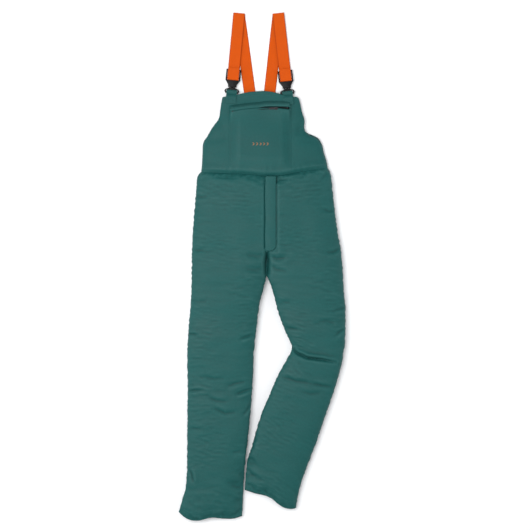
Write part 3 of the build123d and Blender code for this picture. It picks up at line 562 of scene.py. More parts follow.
def mottle_group():
    """Cloudy, slightly streaked variation of a colour, as dye and handling leave it."""
    tree = bpy.data.node_groups.get("mottle")
    if tree:
        return tree
    tree, inn, out = group_with(
        "mottle", [("Vector", "NodeSocketVector", None), ("Colour", "NodeSocketColor", None),
                   ("Scale", "NodeSocketFloat", 9.0), ("Amount", "NodeSocketFloat", 0.1)],
        [("Colour", "NodeSocketColor"), ("Cloud", "NodeSocketFloat")])
    stretched = add(tree, "ShaderNodeVectorMath", {"operation": "MULTIPLY"}, Vector=inn.outputs["Vector"])
    stretched.inputs[1].default_value = (0.6, 1.5, 1.0)
    broad = add(tree, "ShaderNodeTexNoise", Vector=stretched.outputs[0], Scale=inn.outputs["Scale"], Detail=4.0,
                Roughness=0.55)
    fine = add(tree, "ShaderNodeTexNoise", Vector=stretched.outputs[0],
               Scale=math_node(tree, "MULTIPLY", inn.outputs["Scale"], 14.0), Detail=3.0)
    cloud = math_node(tree, "ADD", math_node(tree, "MULTIPLY", broad.outputs[0], 0.7),
                      math_node(tree, "MULTIPLY", fine.outputs[0], 0.3))
    centred = math_node(tree, "SUBTRACT", cloud, 0.5)
    gain = math_node(tree, "ADD", math_node(tree, "MULTIPLY", math_node(tree, "MULTIPLY", centred,
                                                                         inn.outputs["Amount"]), 4.0), 1.0)
    tinted = add(tree, "ShaderNodeVectorMath", {"operation": "SCALE"}, Vector=inn.outputs["Colour"], Scale=gain)
    tree.links.new(tinted.outputs[0], out.inputs["Colour"])
    tree.links.new(cloud, out.inputs["Cloud"])
    return tree


def use_group(tree, group, **inputs):
    """Places a node group in a material."""
    node = tree.nodes.new("ShaderNodeGroup")
    node.node_tree = group
    for key, value in inputs.items():
        if isinstance(value, bpy.types.NodeSocket):
            tree.links.new(value, node.inputs[key])
        else:
            node.inputs[key].default_value = value
    return node


def fresh_material(name):
    """A new material with only its Principled shader and output."""
    material = bpy.data.materials.new(name)
    material.use_nodes = True
    tree = material.node_tree
    tree.nodes.clear()
    shader = tree.nodes.new("ShaderNodeBsdfPrincipled")
    output = tree.nodes.new("ShaderNodeOutputMaterial")
    tree.links.new(shader.outputs[0], output.inputs[0])
    return material, tree, shader


def cloth_coordinates(tree):
    """The cloth's own flat coordinates, in metres."""
    return add(tree, "ShaderNodeUVMap", {"uv_map": "cloth"}).outputs[0]


def fabric(name, colour, threads=1400.0, weave_depth=0.00012, wrinkle=0.0004, amount=0.1, rough=(0.5, 0.64),
           sheen=0.04, fade=0.05, shade=0.35, gloss=0.22):
    """Woven cloth with a soft sheen."""
    material = bpy.data.materials.get(name)
    if material:
        return material
    material, tree, shader = fresh_material(name)
    where = cloth_coordinates(tree)
    weave = use_group(tree, weave_group(), Vector=where, Threads=threads)
    mottle = use_group(tree, mottle_group(), Vector=where, Colour=(*colour, 1), Scale=9.0, Amount=amount)
    yarn = add(tree, "ShaderNodeMix", {"data_type": "RGBA", "blend_type": "MULTIPLY"}, Factor=0.35,
               n6=mottle.outputs["Colour"])
    tree.links.new(span_node(tree, weave.outputs["Yarn"], 0.3, 0.7, 0.75, 1.2), yarn.inputs[7])
    # Faded ridges from wear, and painted shade in the hollows of the folds.
    worn_and_shaded = use_group(tree, wear_and_shade_group(), Colour=yarn.outputs[2], Fade=fade, Shade=shade)
    tree.links.new(worn_and_shaded.outputs["Colour"], shader.inputs["Base Color"])
    tree.links.new(span_node(tree, mottle.outputs["Cloud"], 0.35, 0.65, rough[0], rough[1]),
                   shader.inputs["Roughness"])
    shader.inputs["Specular IOR Level"].default_value = gloss
    shader.inputs["Sheen Weight"].default_value = sheen
    shader.inputs["Sheen Roughness"].default_value = 0.45
    shader.inputs["Sheen Tint"].default_value = (0.55, 0.9, 0.86, 1)
    stretched = add(tree, "ShaderNodeVectorMath", {"operation": "MULTIPLY"}, Vector=where)
    stretched.inputs[1].default_value = (22.0, 75.0, 1.0)
    crumple = add(tree, "ShaderNodeTexNoise", Vector=stretched.outputs[0], Scale=1.0, Detail=5.0, Roughness=0.6)
    soft = add(tree, "ShaderNodeBump", Strength=0.5, Distance=wrinkle, Height=crumple.outputs[0])
    fine = add(tree, "ShaderNodeBump", Strength=0.6, Distance=weave_depth, Height=weave.outputs["Height"],
               Normal=soft.outputs[0])
    tree.links.new(fine.outputs[0], shader.inputs["Normal"])
    return material


def webbing_material(colours):
    """Elastic webbing: ribs along it, fine cross threads, and slightly frayed edges."""
    material = bpy.data.materials.get("elastic_webbing")
    if material:
        return material
    material, tree, shader = fresh_material("elastic_webbing")
    where = cloth_coordinates(tree)
    split = add(tree, "ShaderNodeSeparateXYZ", Vector=where)
    ribs = math_node(tree, "SINE", math_node(tree, "MULTIPLY", split.outputs[0], 2 * math.pi / 0.0022))
    picks = math_node(tree, "SINE", math_node(tree, "MULTIPLY", split.outputs[1], 2 * math.pi / 0.0011))
    height = math_node(tree, "ADD", math_node(tree, "MULTIPLY", ribs, 0.6), math_node(tree, "MULTIPLY", picks, 0.4))
    mottle = use_group(tree, mottle_group(), Vector=where, Colour=(*colours.webbing, 1), Scale=18.0, Amount=0.06)
    shadow = add(tree, "ShaderNodeMix", {"data_type": "RGBA", "blend_type": "MULTIPLY"}, Factor=0.25,
                 n6=mottle.outputs["Colour"])
    tree.links.new(span_node(tree, height, -1.0, 0.6, 0.5, 1.1), shadow.inputs[7])
    side = math_node(tree, "ABSOLUTE", split.outputs[0])
    selvedge = span_node(tree, side, 0.0172, 0.0192, 0.0, 1.0)
    edged = add(tree, "ShaderNodeMix", {"data_type": "RGBA", "blend_type": "MULTIPLY"}, Factor=selvedge,
                n6=shadow.outputs[2], n7=(0.62, 0.5, 0.5, 1))
    tree.links.new(edged.outputs[2], shader.inputs["Base Color"])
    tree.links.new(span_node(tree, mottle.outputs["Cloud"], 0.35, 0.65, 0.55, 0.7), shader.inputs["Roughness"])
    shader.inputs["Specular IOR Level"].default_value = 0.12
    fine = add(tree, "ShaderNodeBump", Strength=0.6, Distance=0.0003, Height=height)
    tree.links.new(fine.outputs[0], shader.inputs["Normal"])
    return material


def hard_material(name, colour, rough, metallic=0.0, grain=900.0, depth=0.00006, scuff=0.12):
    """Moulded plastic or plated metal with a fine grain and scuffed highlights."""
    material = bpy.data.materials.get(name)
    if material:
        return material
    material, tree, shader = fresh_material(name)
    where = add(tree, "ShaderNodeTexCoord").outputs["Object"]
    mottle = use_group(tree, mottle_group(), Vector=where, Colour=(*colour, 1), Scale=60.0, Amount=0.12)
    scratches = add(tree, "ShaderNodeTexNoise", Vector=where, Scale=420.0, Detail=6.0, Roughness=0.75)
    mask = span_node(tree, scratches.outputs[0], 0.56, 0.72, 0.0, scuff)
    scuffed = add(tree, "ShaderNodeMix", {"data_type": "RGBA", "blend_type": "SCREEN"}, Factor=mask,
                  n6=mottle.outputs["Colour"], n7=(0.12, 0.12, 0.125, 1))
    tree.links.new(scuffed.outputs[2], shader.inputs["Base Color"])
    tree.links.new(span_node(tree, scratches.outputs[0], 0.3, 0.7, rough - 0.08, rough + 0.1),
                   shader.inputs["Roughness"])
    shader.inputs["Metallic"].default_value = metallic
    shader.inputs["Specular IOR Level"].default_value = 0.16
    grained = add(tree, "ShaderNodeTexNoise", Vector=where, Scale=grain, Detail=2.0)
    fine = add(tree, "ShaderNodeBump", Strength=0.5, Distance=depth, Height=grained.outputs[0])
    tree.links.new(fine.outputs[0], shader.inputs["Normal"])
    return material


def thread_material(name, colour):
    """Twisted sewing thread."""
    material = bpy.data.materials.get(name)
    if material:
        return material
    material, tree, shader = fresh_material(name)
    where = add(tree, "ShaderNodeTexCoord").outputs["Object"]
    mottle = use_group(tree, mottle_group(), Vector=where, Colour=(*colour, 1), Scale=250.0, Amount=0.2)
    twist = add(tree, "ShaderNodeTexWave", {"wave_type": "BANDS", "bands_direction": "DIAGONAL"}, Vector=where,
                Scale=900.0, Distortion=1.0)
    tree.links.new(mottle.outputs["Colour"], shader.inputs["Base Color"])
    tree.links.new(span_node(tree, twist.outputs["Fac"], 0.0, 1.0, 0.45, 0.6), shader.inputs["Roughness"])
    fine = add(tree, "ShaderNodeBump", Strength=0.5, Distance=0.0001, Height=twist.outputs["Fac"])
    tree.links.new(fine.outputs[0], shader.inputs["Normal"])
    return material


def outer_fabric(context):
    """The green outer fabric."""
    return fabric("outer_fabric_cloth", context.scene.trouser_colours.fabric)


def lining_fabric(context):
    """The dark lining, smoother and duller than the outer fabric."""
    return fabric("lining_cloth", context.scene.trouser_colours.lining, threads=900.0, sheen=0.0, fade=0.02,
                  gloss=0.06)


# ---------------------------------------------------------------- legs and hips

def leg_rows(side, step):
    """The rows of one half from hem to waist: outer, inner, top, distance from the hem and how far up the hips."""
    table = np.array(LEG[side], float)
    middle = (table[:, 0:2] + table[:, 2:4]) / 2
    knots = np.concatenate([[0], np.cumsum(np.hypot(*np.diff(middle, axis=0).T))])
    hip = np.array([tuple(table[-1, 0:2]), *HIP_EDGE[side]], float)
    share = (hip[:, 1] - hip[0, 1]) / (hip[-1, 1] - hip[0, 1])
    leg_length = knots[-1]
    outer_knots = np.concatenate([knots, leg_length + share[1:] * HIP_LENGTH])
    outer_table = np.vstack([table[:, 0:2], hip[1:]])
    leg_count = round(leg_length / step)
    hip_count = round(HIP_LENGTH / step)
    at_leg = np.linspace(0, leg_length, leg_count + 1)
    up = np.linspace(0, 1, hip_count + 1)[1:]
    at = np.concatenate([at_leg, leg_length + up * HIP_LENGTH])
    centre = np.array(CENTRE, float)
    centre_y = centre[0, 1] + up * (centre[-1, 1] - centre[0, 1])
    inner = np.vstack([
        smooth(knots, table[:, 2:4], at_leg),
        np.column_stack([smooth(centre[:, 1], centre[:, 0], centre_y), centre_y]),
    ])
    top = np.concatenate([smooth(knots, table[:, 4], at_leg), np.full(hip_count, table[-1, 4])])
    up_all = np.concatenate([np.zeros(leg_count + 1), up])
    return smooth(outer_knots, outer_table, at), inner, top, at, up_all


def leg_place(side, step, front, back, inset=0.0, room=6.5):
    """How one half's grid is put in place: columns go over the front from the inner edge and back underneath."""
    outer, inner, top, at, up = leg_rows(side, step)
    width = 235.0
    closed_x, closed_z = lens(front, 2.5, width, 30.0)
    open_x, open_z = lens(front, 2.5, width, 30.0, whole=False)
    under_x, under_z = lens(back, 3.6, width, SEAM)
    half_x, half_z = lens(back, 3.6, width, SEAM, whole=False)
    columns = front + back
    wave_x, wave_front, wave_back = np.array(HEM_WAVE[side], float).T
    waist_end = up.max()

    def place(u, v):
        row = np.round(v * (len(at) - 1)).astype(int)
        column = np.round(u * columns).astype(int)
        is_front = column <= front
        k = np.where(is_front, column, 0)
        b = np.where(is_front, 0, columns - column)
        o = ease(up[row] / 0.3)
        x = np.where(is_front, closed_x[k] * (1 - o) + open_x[k] * o,
                     np.where(is_front, 0, under_x[b] * (1 - o) + half_x[b] * o))
        z = np.where(is_front, closed_z[k] * (1 - o) + open_z[k] * o, under_z[b] * (1 - o) + half_z[b] * o)
        x = np.clip(x, 0, 1)
        a, c = inner[row], outer[row]
        length = np.hypot(*(c - a).T)
        x = (x * (length - 2 * inset) + inset) / length
        p = a + (c - a) * x[:, None]
        height = top[row] - room
        roll = ease((up[row] * HIP_LENGTH - (HIP_LENGTH - 14)) / 14) if waist_end else 0
        height = height - 7 * roll
        zz = np.where(is_front, SEAM + (height - SEAM - inset) * z, SEAM - (SEAM - FLOOR - inset) * z)
        near_hem = np.exp(-(at[row] / 48) ** 2)
        drop = np.where(is_front, smooth(wave_x, wave_front, x), smooth(wave_x, wave_back, x))
        waist = ease((up[row] * HIP_LENGTH - (HIP_LENGTH - 60)) / 60) * (up[row] > 0)
        last_a, last_c = inner[-1], outer[-1]
        line_y = last_a[1] + (last_c[1] - last_a[1]) * x
        shift = waist * (read(WAIST, p[:, 0]) - line_y)
        return np.column_stack([p[:, 0], p[:, 1] + drop * near_hem + shift, zz])

    return place, len(at) - 1, at


def legs_mesh(step):
    """Both halves of the trousers as one cloth mesh, joined at the crotch and the centre seams."""
    bm = bmesh.new()
    row_layer = bm.verts.layers.int.new("row")
    side_layer = bm.verts.layers.int.new("side")
    seam_layer = bm.verts.layers.float.new("seam")
    half_round = 240.0
    front = round(half_round / step)
    back = round(half_round * 0.92 / step)
    for number, side in enumerate(SIDES):
        place, rows, at = leg_place(side, step, front, back)
        made, u, v = grid(bm, front + back, rows, place)
        around = u * (front + back)
        flat_x = np.where(around <= front, around - front / 2, front / 2 - (around - front)) * step * MM
        flat_y = np.interp(v, np.linspace(0, 1, len(at)), at) * MM
        lay_uv(bm, made, list(zip(flat_x * SIGN[side], flat_y)))
        to_seam = np.minimum(np.minimum(np.abs(around - front), around), front + back - around) * step
        for vertex, row, near in zip(made, np.round(v * rows).astype(int), np.exp(-(to_seam / 14) ** 2)):
            vertex[row_layer] = int(row)
            vertex[side_layer] = number
            vertex[seam_layer] = float(near)
    bmesh.ops.remove_doubles(bm, verts=bm.verts, dist=0.05 * MM)
    bmesh.ops.recalc_face_normals(bm, faces=bm.faces)
    top = max(bm.faces, key=lambda f: f.calc_center_median().z)
    if top.normal.z < 0:
        bmesh.ops.reverse_faces(bm, faces=bm.faces)
    return bm


def weights(obj, name, values):
    """A vertex group with those weights."""
    group = obj.vertex_groups.new(name=name)
    levels = np.round(np.asarray(values) * 20).astype(int)
    for level in range(1, 21):
        chosen = np.flatnonzero(levels == level).tolist()
        if chosen:
            group.add(chosen, level / 20, "REPLACE")
    return group


def fill_out(obj, sizes, pin, seam):
    """Lets the padding fill the cloth out over the floor, with puckers where its slack meets the seams."""
    scene = bpy.context.scene
    rest = points_of(obj.data)
    weights(obj, "pin", pin)
    weights(obj, "seam", seam)
    bm = bmesh.new()
    bmesh.ops.create_grid(bm, x_segments=4, y_segments=4, size=1.5)
    ground = new_object("ground", bm, obj.data.materials[0])
    ground.modifiers.new("Collision", "COLLISION")
    ground.collision.thickness_outer = 0.0005
    cloth = obj.modifiers.new("Fill", "CLOTH")
    s = cloth.settings
    s.quality = 6
    s.mass = 0.25
    s.tension_stiffness = s.compression_stiffness = 25
    s.shear_stiffness = 12
    s.bending_stiffness = 0.6
    s.tension_damping = s.compression_damping = 20
    s.shear_damping = 15
    s.use_pressure = True
    s.uniform_pressure_force = sizes.puff
    s.effector_weights.gravity = 0
    s.vertex_group_mass = "pin"
    s.pin_stiffness = 1.0
    s.vertex_group_shrink = "seam"
    s.shrink_min = -sizes.slack
    s.shrink_max = 0.012
    cloth.collision_settings.use_collision = True
    cloth.collision_settings.distance_min = 0.0005
    cloth.point_cache.frame_start = 1
    cloth.point_cache.frame_end = FILL_FRAMES
    for number in range(1, FILL_FRAMES + 1):
        scene.frame_set(number)
    filled = points_of(obj.evaluated_get(bpy.context.evaluated_depsgraph_get()).data)
    scene.frame_set(1)
    obj.modifiers.remove(cloth)
    bpy.data.objects.remove(ground)
    move = filled - rest
    length = np.linalg.norm(move, axis=1)
    limit = sizes.fill_limit
    move *= (limit * np.tanh(length / limit) / np.maximum(length, 1e-9))[:, None]
    put_points(obj.data, rest + move)


def turn_hems(obj):
    """Turns the cloth up inside the hems."""
    bm = bmesh.new()
    bm.from_mesh(obj.data)
    rows = bm.verts.layers.int["row"]
    bm.normal_update()
    edges = [e for e in bm.edges if e.is_boundary and all(v[rows] == 0 for v in e.verts)]

    def key(v):
        """The vertex's place, which a freshly extruded copy shares."""
        return tuple(round(c, 6) for c in v.co)

    def up_the_leg(v):
        """Which way the cloth runs from a vertex on the hem."""
        end = v
        for _ in range(HEM_ROWS):
            end = next(o for o in (e.other_vert(end) for e in end.link_edges) if o[rows] == end[rows] + 1)
        return (end.co - v.co).normalized()

    ways = {key(v): (v.normal.copy(), up_the_leg(v)) for v in {v for e in edges for v in e.verts}}
    for move_in, move_up in HEM_TURN:
        made = bmesh.ops.extrude_edge_only(bm, edges=edges)["geom"]
        verts = [g for g in made if isinstance(g, bmesh.types.BMVert)]
        edges = [g for g in made if isinstance(g, bmesh.types.BMEdge)]
        moved = {}
        for v in verts:
            out, up = ways[key(v)]
            v.co += (up * move_up - out * move_in) * MM
            moved[key(v)] = (out, up)
        ways = moved
    bm.to_mesh(obj.data)
    bm.free()


def crease(co, normal, points, width, depth, lip, side):
    """Presses a fold into the upper side of the cloth along a line."""
    d, which, along = from_line(co[:, :2], points)
    fade = np.clip(np.sin(np.clip(along, 0.02, 0.98) * math.pi), 0, 1) ** 0.6
    facing = ease((normal[:, 2] + 0.1) / 0.5)
    signed = d * which * side
    co[:, 2] -= depth * fade * facing * np.exp(-(d / width) ** 2)
    co[:, 2] += lip * fade * facing * np.exp(-((signed - 1.9 * width) / (1.6 * width)) ** 2)


def shape_legs(obj):
    """Creases, small wrinkles, the fly's tray and the room under the flap."""
    mesh = obj.data
    co, normal = points_of(mesh) / MM, normals_of(mesh)
    layer = mesh.uv_layers["cloth"]
    flat = np.zeros((len(co), 2))
    loops = np.empty(len(mesh.loops), int)
    mesh.loops.foreach_get("vertex_index", loops)
    uv = np.empty(len(mesh.loops) * 2)
    layer.data.foreach_get("uv", uv)
    flat[loops] = uv.reshape(-1, 2) / MM
    facing = ease(normal[:, 2] / 0.6)
    rim = (1 - ease(np.abs(normal[:, 2]) / 0.75)) * ease((co[:, 2] - 1) / 6)
    pucker = np.array([noise.noise(Vector((y / 9.0, y / 31.0, 5.0 + 3.0 * (x > 0)))) for x, y in flat])
    co[:, :2] += normal[:, :2] * (PUCKER * pucker * rim)[:, None]
    for height, along, across in WRINKLE:
        ripple = np.array([noise.noise(Vector((x / across, y / along, height * 9))) for x, y in flat])
        patch = np.array([noise.noise(Vector((x / 130, y / 95, height * 31))) for x, y in flat])
        co[:, 2] += height * 2 * ripple * facing * (0.35 + 1.3 * ease(0.5 + 1.6 * patch))
    broad = np.array([noise.noise(Vector((x / 90, y / 120, 3.1))) for x, y in flat])
    co[:, 2] += SWELL * broad * facing * ease((co[:, 2] - 26) / 14)
    for points, width, depth, lip, side in CREASES:
        crease(co, normal, points, width, depth * CREASE_DEPTH, lip * CREASE_LIP, side)
    inside = facing > 0.3
    x, y = co[:, 0], co[:, 1]
    flap = ease((x + 3) / 8) * ease((54 - x) / 8) * ease((y - 38) / 12) * inside
    low = np.minimum(co[:, 2], FLAP_BED + 0.4 * np.tanh(co[:, 2] - FLAP_BED))
    co[:, 2] = co[:, 2] * (1 - flap) + low * flap
    tray = ease((x - 1) / 7) * ease((39 - x) / 5) * ease((y - 52) / 10) * inside
    co[:, 2] = co[:, 2] * (1 - tray) + np.minimum(co[:, 2], FLY_TRAY) * tray
    d, _, _ = from_line(co[:, :2], FLY_SEAM)
    co[:, 2] -= SEAM_PRESS * np.exp(-(d / SEAM_PRESS) ** 2) * inside
    co[:, 2] = np.maximum(co[:, 2], 0.3)
    put_points(mesh, co * MM)


def applied(obj):
    """Replaces the mesh by what its modifiers make of it, and removes them."""
    mesh = bpy.data.meshes.new_from_object(obj.evaluated_get(bpy.context.evaluated_depsgraph_get()))
    obj.modifiers.clear()
    obj.data = mesh


class TROUSERS_OT_legs(bpy.types.Operator):
    """Model the padded trousers from hems to waist"""

    bl_idname = "trousers.legs"
    bl_label = "Legs and hips"

    def execute(self, context):
        sizes = context.scene.trouser_sizes
        bm = legs_mesh(sizes.mesh_step / MM * (1))
        rows = bm.verts.layers.int["row"]
        seams = bm.verts.layers.float["seam"]
        border = {v for e in bm.edges if e.is_boundary for v in e.verts}
        next_in = {w for v in border for e in v.link_edges for w in e.verts}
        pin = [1.0 if v in border and v[rows] > 0 else 0.5 if v in next_in else 0.0 for v in bm.verts]
        seam = [v[seams] for v in bm.verts]
        both = new_object("trousers", bm, outer_fabric(context))
        fill_out(both, sizes, pin, seam)
        turn_hems(both)
        divide(both)
        applied(both)
        shape_legs(both)
        mark_folds(both)
        for number, side in enumerate(SIDES):
            bm = bmesh.new()
            bm.from_mesh(both.data)
            sides = bm.verts.layers.int["side"]
            away = [f for f in bm.faces if (sum(v[sides] for v in f.verts) >= 2) != (number == 1)]
            bmesh.ops.delete(bm, geom=away, context="FACES")
            piece = new_object(f"trousers_{side}", bm, outer_fabric(context))
            belong(piece, "garment", "outer_fabric", f"front_panel_{side}", f"back_panel_{side}",
                   f"back_side_{side}", f"hem_band_{side}", f"cut_pad_{side}")
        bpy.data.objects.remove(both)
        return {"FINISHED"}


class TROUSERS_OT_linings(bpy.types.Operator):
    """Model the linings inside the legs"""

    bl_idname = "trousers.linings"
    bl_label = "Leg linings"

    def execute(self, context):
        cloth = lining_fabric(context)
        for side in SIDES:
            bm = bmesh.new()
            front, back, step = 22, 20, 20.0
            place, rows, at = leg_place(side, step, front, back, inset=6.5)
            start = 1
            end = int(np.searchsorted(at, 520.0))

            def tube(u, v):
                return place(u, (start + np.round(v * (end - start))) / rows)

            made, u, v = grid(bm, front + back, end - start, tube)
            lay_uv(bm, made, list(zip((u - 0.5) * 0.44, v * 0.5)))
            bmesh.ops.remove_doubles(bm, verts=bm.verts, dist=0.05 * MM)
            bmesh.ops.recalc_face_normals(bm, faces=bm.faces)
            high = max(bm.faces, key=lambda f: f.calc_center_median().z)
            if high.normal.z > 0:
                bmesh.ops.reverse_faces(bm, faces=bm.faces)
            piece = new_object(f"lining_{side}", bm, cloth)
            divide(piece)
            belong(piece, "garment", "lining_fabric", f"lining_front_{side}", f"lining_back_{side}")
        return {"FINISHED"}


# ---------------------------------------------------------------- bib

def bib_height(y):
    """Height of the bib's front."""
    return BIB_WAIST_TOP - BIB_SLOPE * (y - 316)


def bib_front_place(u, v):
    """Puts the bib's front: a low dome that falls to the side seams and to the armhole edges."""
    y_left, y_right = 317 + v * 260, 334 + v * 243
    x_left, x_right = edge_x(BIB_LEFT, y_left), edge_x(BIB_RIGHT, y_right)
    s = 0.5 - 0.5 * np.cos(u * math.pi)
    s = 0.65 * u + 0.35 * s
    x = x_left + (x_right - x_left) * s
    y = (read(WAIST, x) - 3) * (1 - v) + read(BIB_EDGE_TOP, x) * v
    dome = (1 - np.abs(2 * s - 1) ** 3.2) ** 0.5
    free = ease((y - SIDE_SPLIT + 20) / 40)
    edge = SEAM + 1.2 * free
    z = edge + (bib_height(y) - edge) * dome
    z = z - 9.5 * (1 - ease((y - read(WAIST, x) + 3) / 15)) * dome
    z = z + 0.9 * np.sin(x / 31 + y / 47) * dome + 0.6 * np.sin(x / 17 - y / 58 + 1.3) * dome
    return np.column_stack([x, y, z])


def bib_back_place(u, v):
    """Puts the bib's back, which lies on the floor."""
    y_left, y_right = 317 + v * (BACK_TOP_Y - 317), 334 + v * (BACK_TOP_Y - 334)
    free = ease((y_left - SIDE_SPLIT) / 30)
    x_left = edge_x(BIB_LEFT, y_left) + 5 * free
    x_right = edge_x(BIB_RIGHT, y_right) - 5 * free
    s = 0.65 * u + 0.35 * (0.5 - 0.5 * np.cos(u * math.pi))
    x = x_left + (x_right - x_left) * s
    y = (read(WAIST, x) - 3) * (1 - v) + BACK_TOP_Y * v
    hollow = (1 - np.abs(2 * s - 1) ** 4) ** 0.5
    edge = SEAM - 6.5 * free
    z = edge + (4.2 - edge) * hollow
    return np.column_stack([x, y, z])


def bib_extras(xy, z):
    """Soft folds of the bib: gathers over the waist seam and slack below the corners."""
    gathers = bump(xy[:, 1], 330, 16)
    z = z + 0.45 * gathers * np.sin(xy[:, 0] / 5.2 + 2.6 * np.sin(xy[:, 0] / 19)) * np.sin(xy[:, 0] / 37 + 0.6)
    for points, width, depth in (
        ([(-205, 420), (-150, 436), (-112, 430)], 16, 2.0), ([(200, 418), (160, 430), (108, 424)], 14, 2.4),
        ([(-150, 500), (-136, 470), (-130, 420)], 12, 1.6), ([(140, 500), (124, 470), (112, 440)], 11, 2.2),
        ([(-112, 560), (-60, 566), (0, 568)], 12, 1.0), ([(216, 350), (180, 360), (130, 350)], 12, 2.0),
        ([(-208, 350), (-170, 352), (-130, 344)], 12, 1.6),
    ):
        d, _, along = from_line(xy, points)
        z = z - depth * np.exp(-(d / width) ** 2) * np.sin(np.clip(along, 0.03, 0.97) * math.pi)
    return z


class TROUSERS_OT_bib(bpy.types.Operator):
    """Model the bib's front and back"""

    bl_idname = "trousers.bib"
    bl_label = "Bib"

    def execute(self, context):
        coarse = 1
        for name, place, across, along, nodes, flat, area in (
            ("bib_front_cloth", bib_front_place, 74, 52, ("bib_front", "bib_facing", "waist_tape"),
             (0.43, 0.29), 0.105),
            ("bib_back_cloth", bib_back_place, 56, 32, ("bib_back", "back_facing", "waist_elastic", "strap_anchor"),
             (0.43, 0.19), 0.075),
        ):
            bm = bmesh.new()
            made, _, _ = grid(bm, round(across / coarse), round(along / coarse), place)
            lay_uv(bm, made, [(vertex.co.x, vertex.co.y) for vertex in made])
            up_first(bm)
            piece = new_object(name, bm, outer_fabric(context))
            if place is bib_front_place:
                divide(piece)
                applied(piece)
                co = points_of(piece.data) / MM
                co[:, 2] = bib_extras(co[:, :2], co[:, 2])
                put_points(piece.data, co * MM)
            mark_folds(piece)
            thicken(piece, 2.2, levels=0 if place is bib_front_place else 1)
            belong(piece, "garment", "outer_fabric", *nodes)
        return {"FINISHED"}


# ---------------------------------------------------------------- pocket

def zip_line(x):
    """y of the pocket zip."""
    return ZIP_MIDDLE[1] + (x - ZIP_MIDDLE[0]) * ZIP_TILT


def mouth_top(x):
    """y of the pocket mouth's upper lip."""
    share = (x - POCKET_X[0]) / (POCKET_X[1] - POCKET_X[0])
    return zip_line(x) + 1.6 + 7.0 * np.sin(np.clip(share, 0, 1) * math.pi) ** 0.9


def mouth_gap(x):
    """How far the mouth's lips are apart."""
    share = np.clip((x + 6) / (POCKET_X[1] - 2 + 6), 0, 1)
    return 0.2 + 8.2 * share ** 1.3 * ease((1 - share) / 0.07)


class TROUSERS_OT_pocket(bpy.types.Operator):
    """Model the bib's pocket: its panel, the welt over its mouth and the space inside"""

    bl_idname = "trousers.pocket"
    bl_label = "Bib pocket"

    def execute(self, context):
        top = top_of(bpy.data.objects["bib_front_cloth"])
        low, high = POCKET_X

        def panel(u, v):
            x = low + (high - low) * u
            bottom, end = read(WAIST, x) + 1.5, mouth_top(x) - mouth_gap(x)
            y = bottom + (end - bottom) * v
            edge = np.minimum(x - low, high - x)
            lift = 0.6 + 7.4 * ease(edge / 40) * ease((y - bottom) / 60)
            ridge = bump(end - y, 0, 26)
            lift = lift * (1 - ridge) + (0.6 + 11.6 * ease((edge + 1) / 11)) * ridge
            lift = lift - 2.6 * ease((3.5 - (end - y)) / 3.5) * ease(edge / 8)
            lift = lift + 0.7 * np.sin(x / 26 + y / 33) * ease(edge / 30)
            return np.column_stack([x, y, heights(top, np.column_stack([x, y]), 30) + lift])

        def welt(u, v):
            x = low + (high - low) * u
            lapped = 2.6 * ease((12 - x) / 30)
            start = mouth_top(x) - lapped
            y = start + 22 * v
            edge = np.minimum(x - low, high - x)
            lift = 0.6 + 14.8 * ease((edge + 1) / 11) * (1 - ease((y - start - 6) / 16))
            lift = lift - 1.8 * ease((2.5 - (y - start)) / 2.5) * ease(edge / 8) * (1 - lapped / 2.6)
            return np.column_stack([x, y, heights(top, np.column_stack([x, y]), 24) + lift])

        def inside(u, v):
            x = low + 8 + (high - low - 16) * u
            y = zip_line(x) - 14 + 30 * v
            return np.column_stack([x, y, heights(top, np.column_stack([x, y]), 24) + 0.8])

        lining = lining_fabric(context)
        for name, place, across, along, thickness, cloth, slot, nodes, flat in (
            ("pocket_panel", panel, 54, 56, 1.6, outer_fabric(context), "outer_fabric", ("bib_pocket",), (0.22, 0.24)),
            ("pocket_welt", welt, 54, 8, 1.4, outer_fabric(context), "outer_fabric", (), (0.22, 0.03)),
            ("pocket_inside", inside, 24, 6, 0.8, lining, "lining_fabric", (), (0.2, 0.03)),
        ):
            bm = bmesh.new()
            made, u, v = grid(bm, across, along, place)
            lay_uv(bm, made, [(vertex.co.x, vertex.co.y) for vertex in made])
            up_first(bm)
            piece = new_object(name, bm, cloth)
            mark_folds(piece)
            thicken(piece, thickness)
            belong(piece, "garment", slot, *nodes)
        return {"FINISHED"}


# ---------------------------------------------------------------- fly

class TROUSERS_OT_fly(bpy.types.Operator):
    """Model the flap over the fly"""

    bl_idname = "trousers.fly"
    bl_label = "Fly flap"

    def execute(self, context):
        def place(u, v):
            y = FLY_Y[0] + (FLY_Y[1] - FLY_Y[0]) * v
            into = np.clip(FLY_ROUND - (y - FLY_Y[0]), 0, FLY_ROUND)
            right = FLY_X[1] - (FLY_ROUND - np.sqrt(np.maximum(FLY_ROUND**2 - into**2, 0)))
            left = FLY_X[0] + 0.8 * np.sin(y / 21)
            x = left + (right - left) * u
            z = FLY_FLAP_TOP + 1.7 * np.sin(u * math.pi) ** 0.7 + 0.5 * np.sin(y / 13 + 2 * u) * (1 - u) - 0.5 * u
            return np.column_stack([x, y, z])

        bm = bmesh.new()
        made, u, v = grid(bm, 12, 64, place)
        lay_uv(bm, made, [(vertex.co.x, vertex.co.y) for vertex in made])
        up_first(bm)
        piece = new_object("fly_flap_cloth", bm, outer_fabric(context))
        mark_folds(piece)
        thicken(piece, 1.8)
        belong(piece, "fly_flap", "outer_fabric", "fly_flap")
        return {"FINISHED"}


# ---------------------------------------------------------------- zips

def bead(bm, centre, along, normal, size):
    """A small rounded grain: a stitch or a zip tooth, with its length, width and height in millimetres."""
    along = along.normalized()
    across = normal.cross(along).normalized()
    normal = along.cross(across)
    turn = Matrix((along, across, normal)).transposed().to_4x4()
    scale = Matrix.Diagonal((size[0] / 2 * MM, size[1] / 2 * MM, size[2] / 2 * MM, 1))
    bmesh.ops.create_icosphere(bm, subdivisions=1, radius=1.0, matrix=Matrix.Translation(centre) @ turn @ scale)


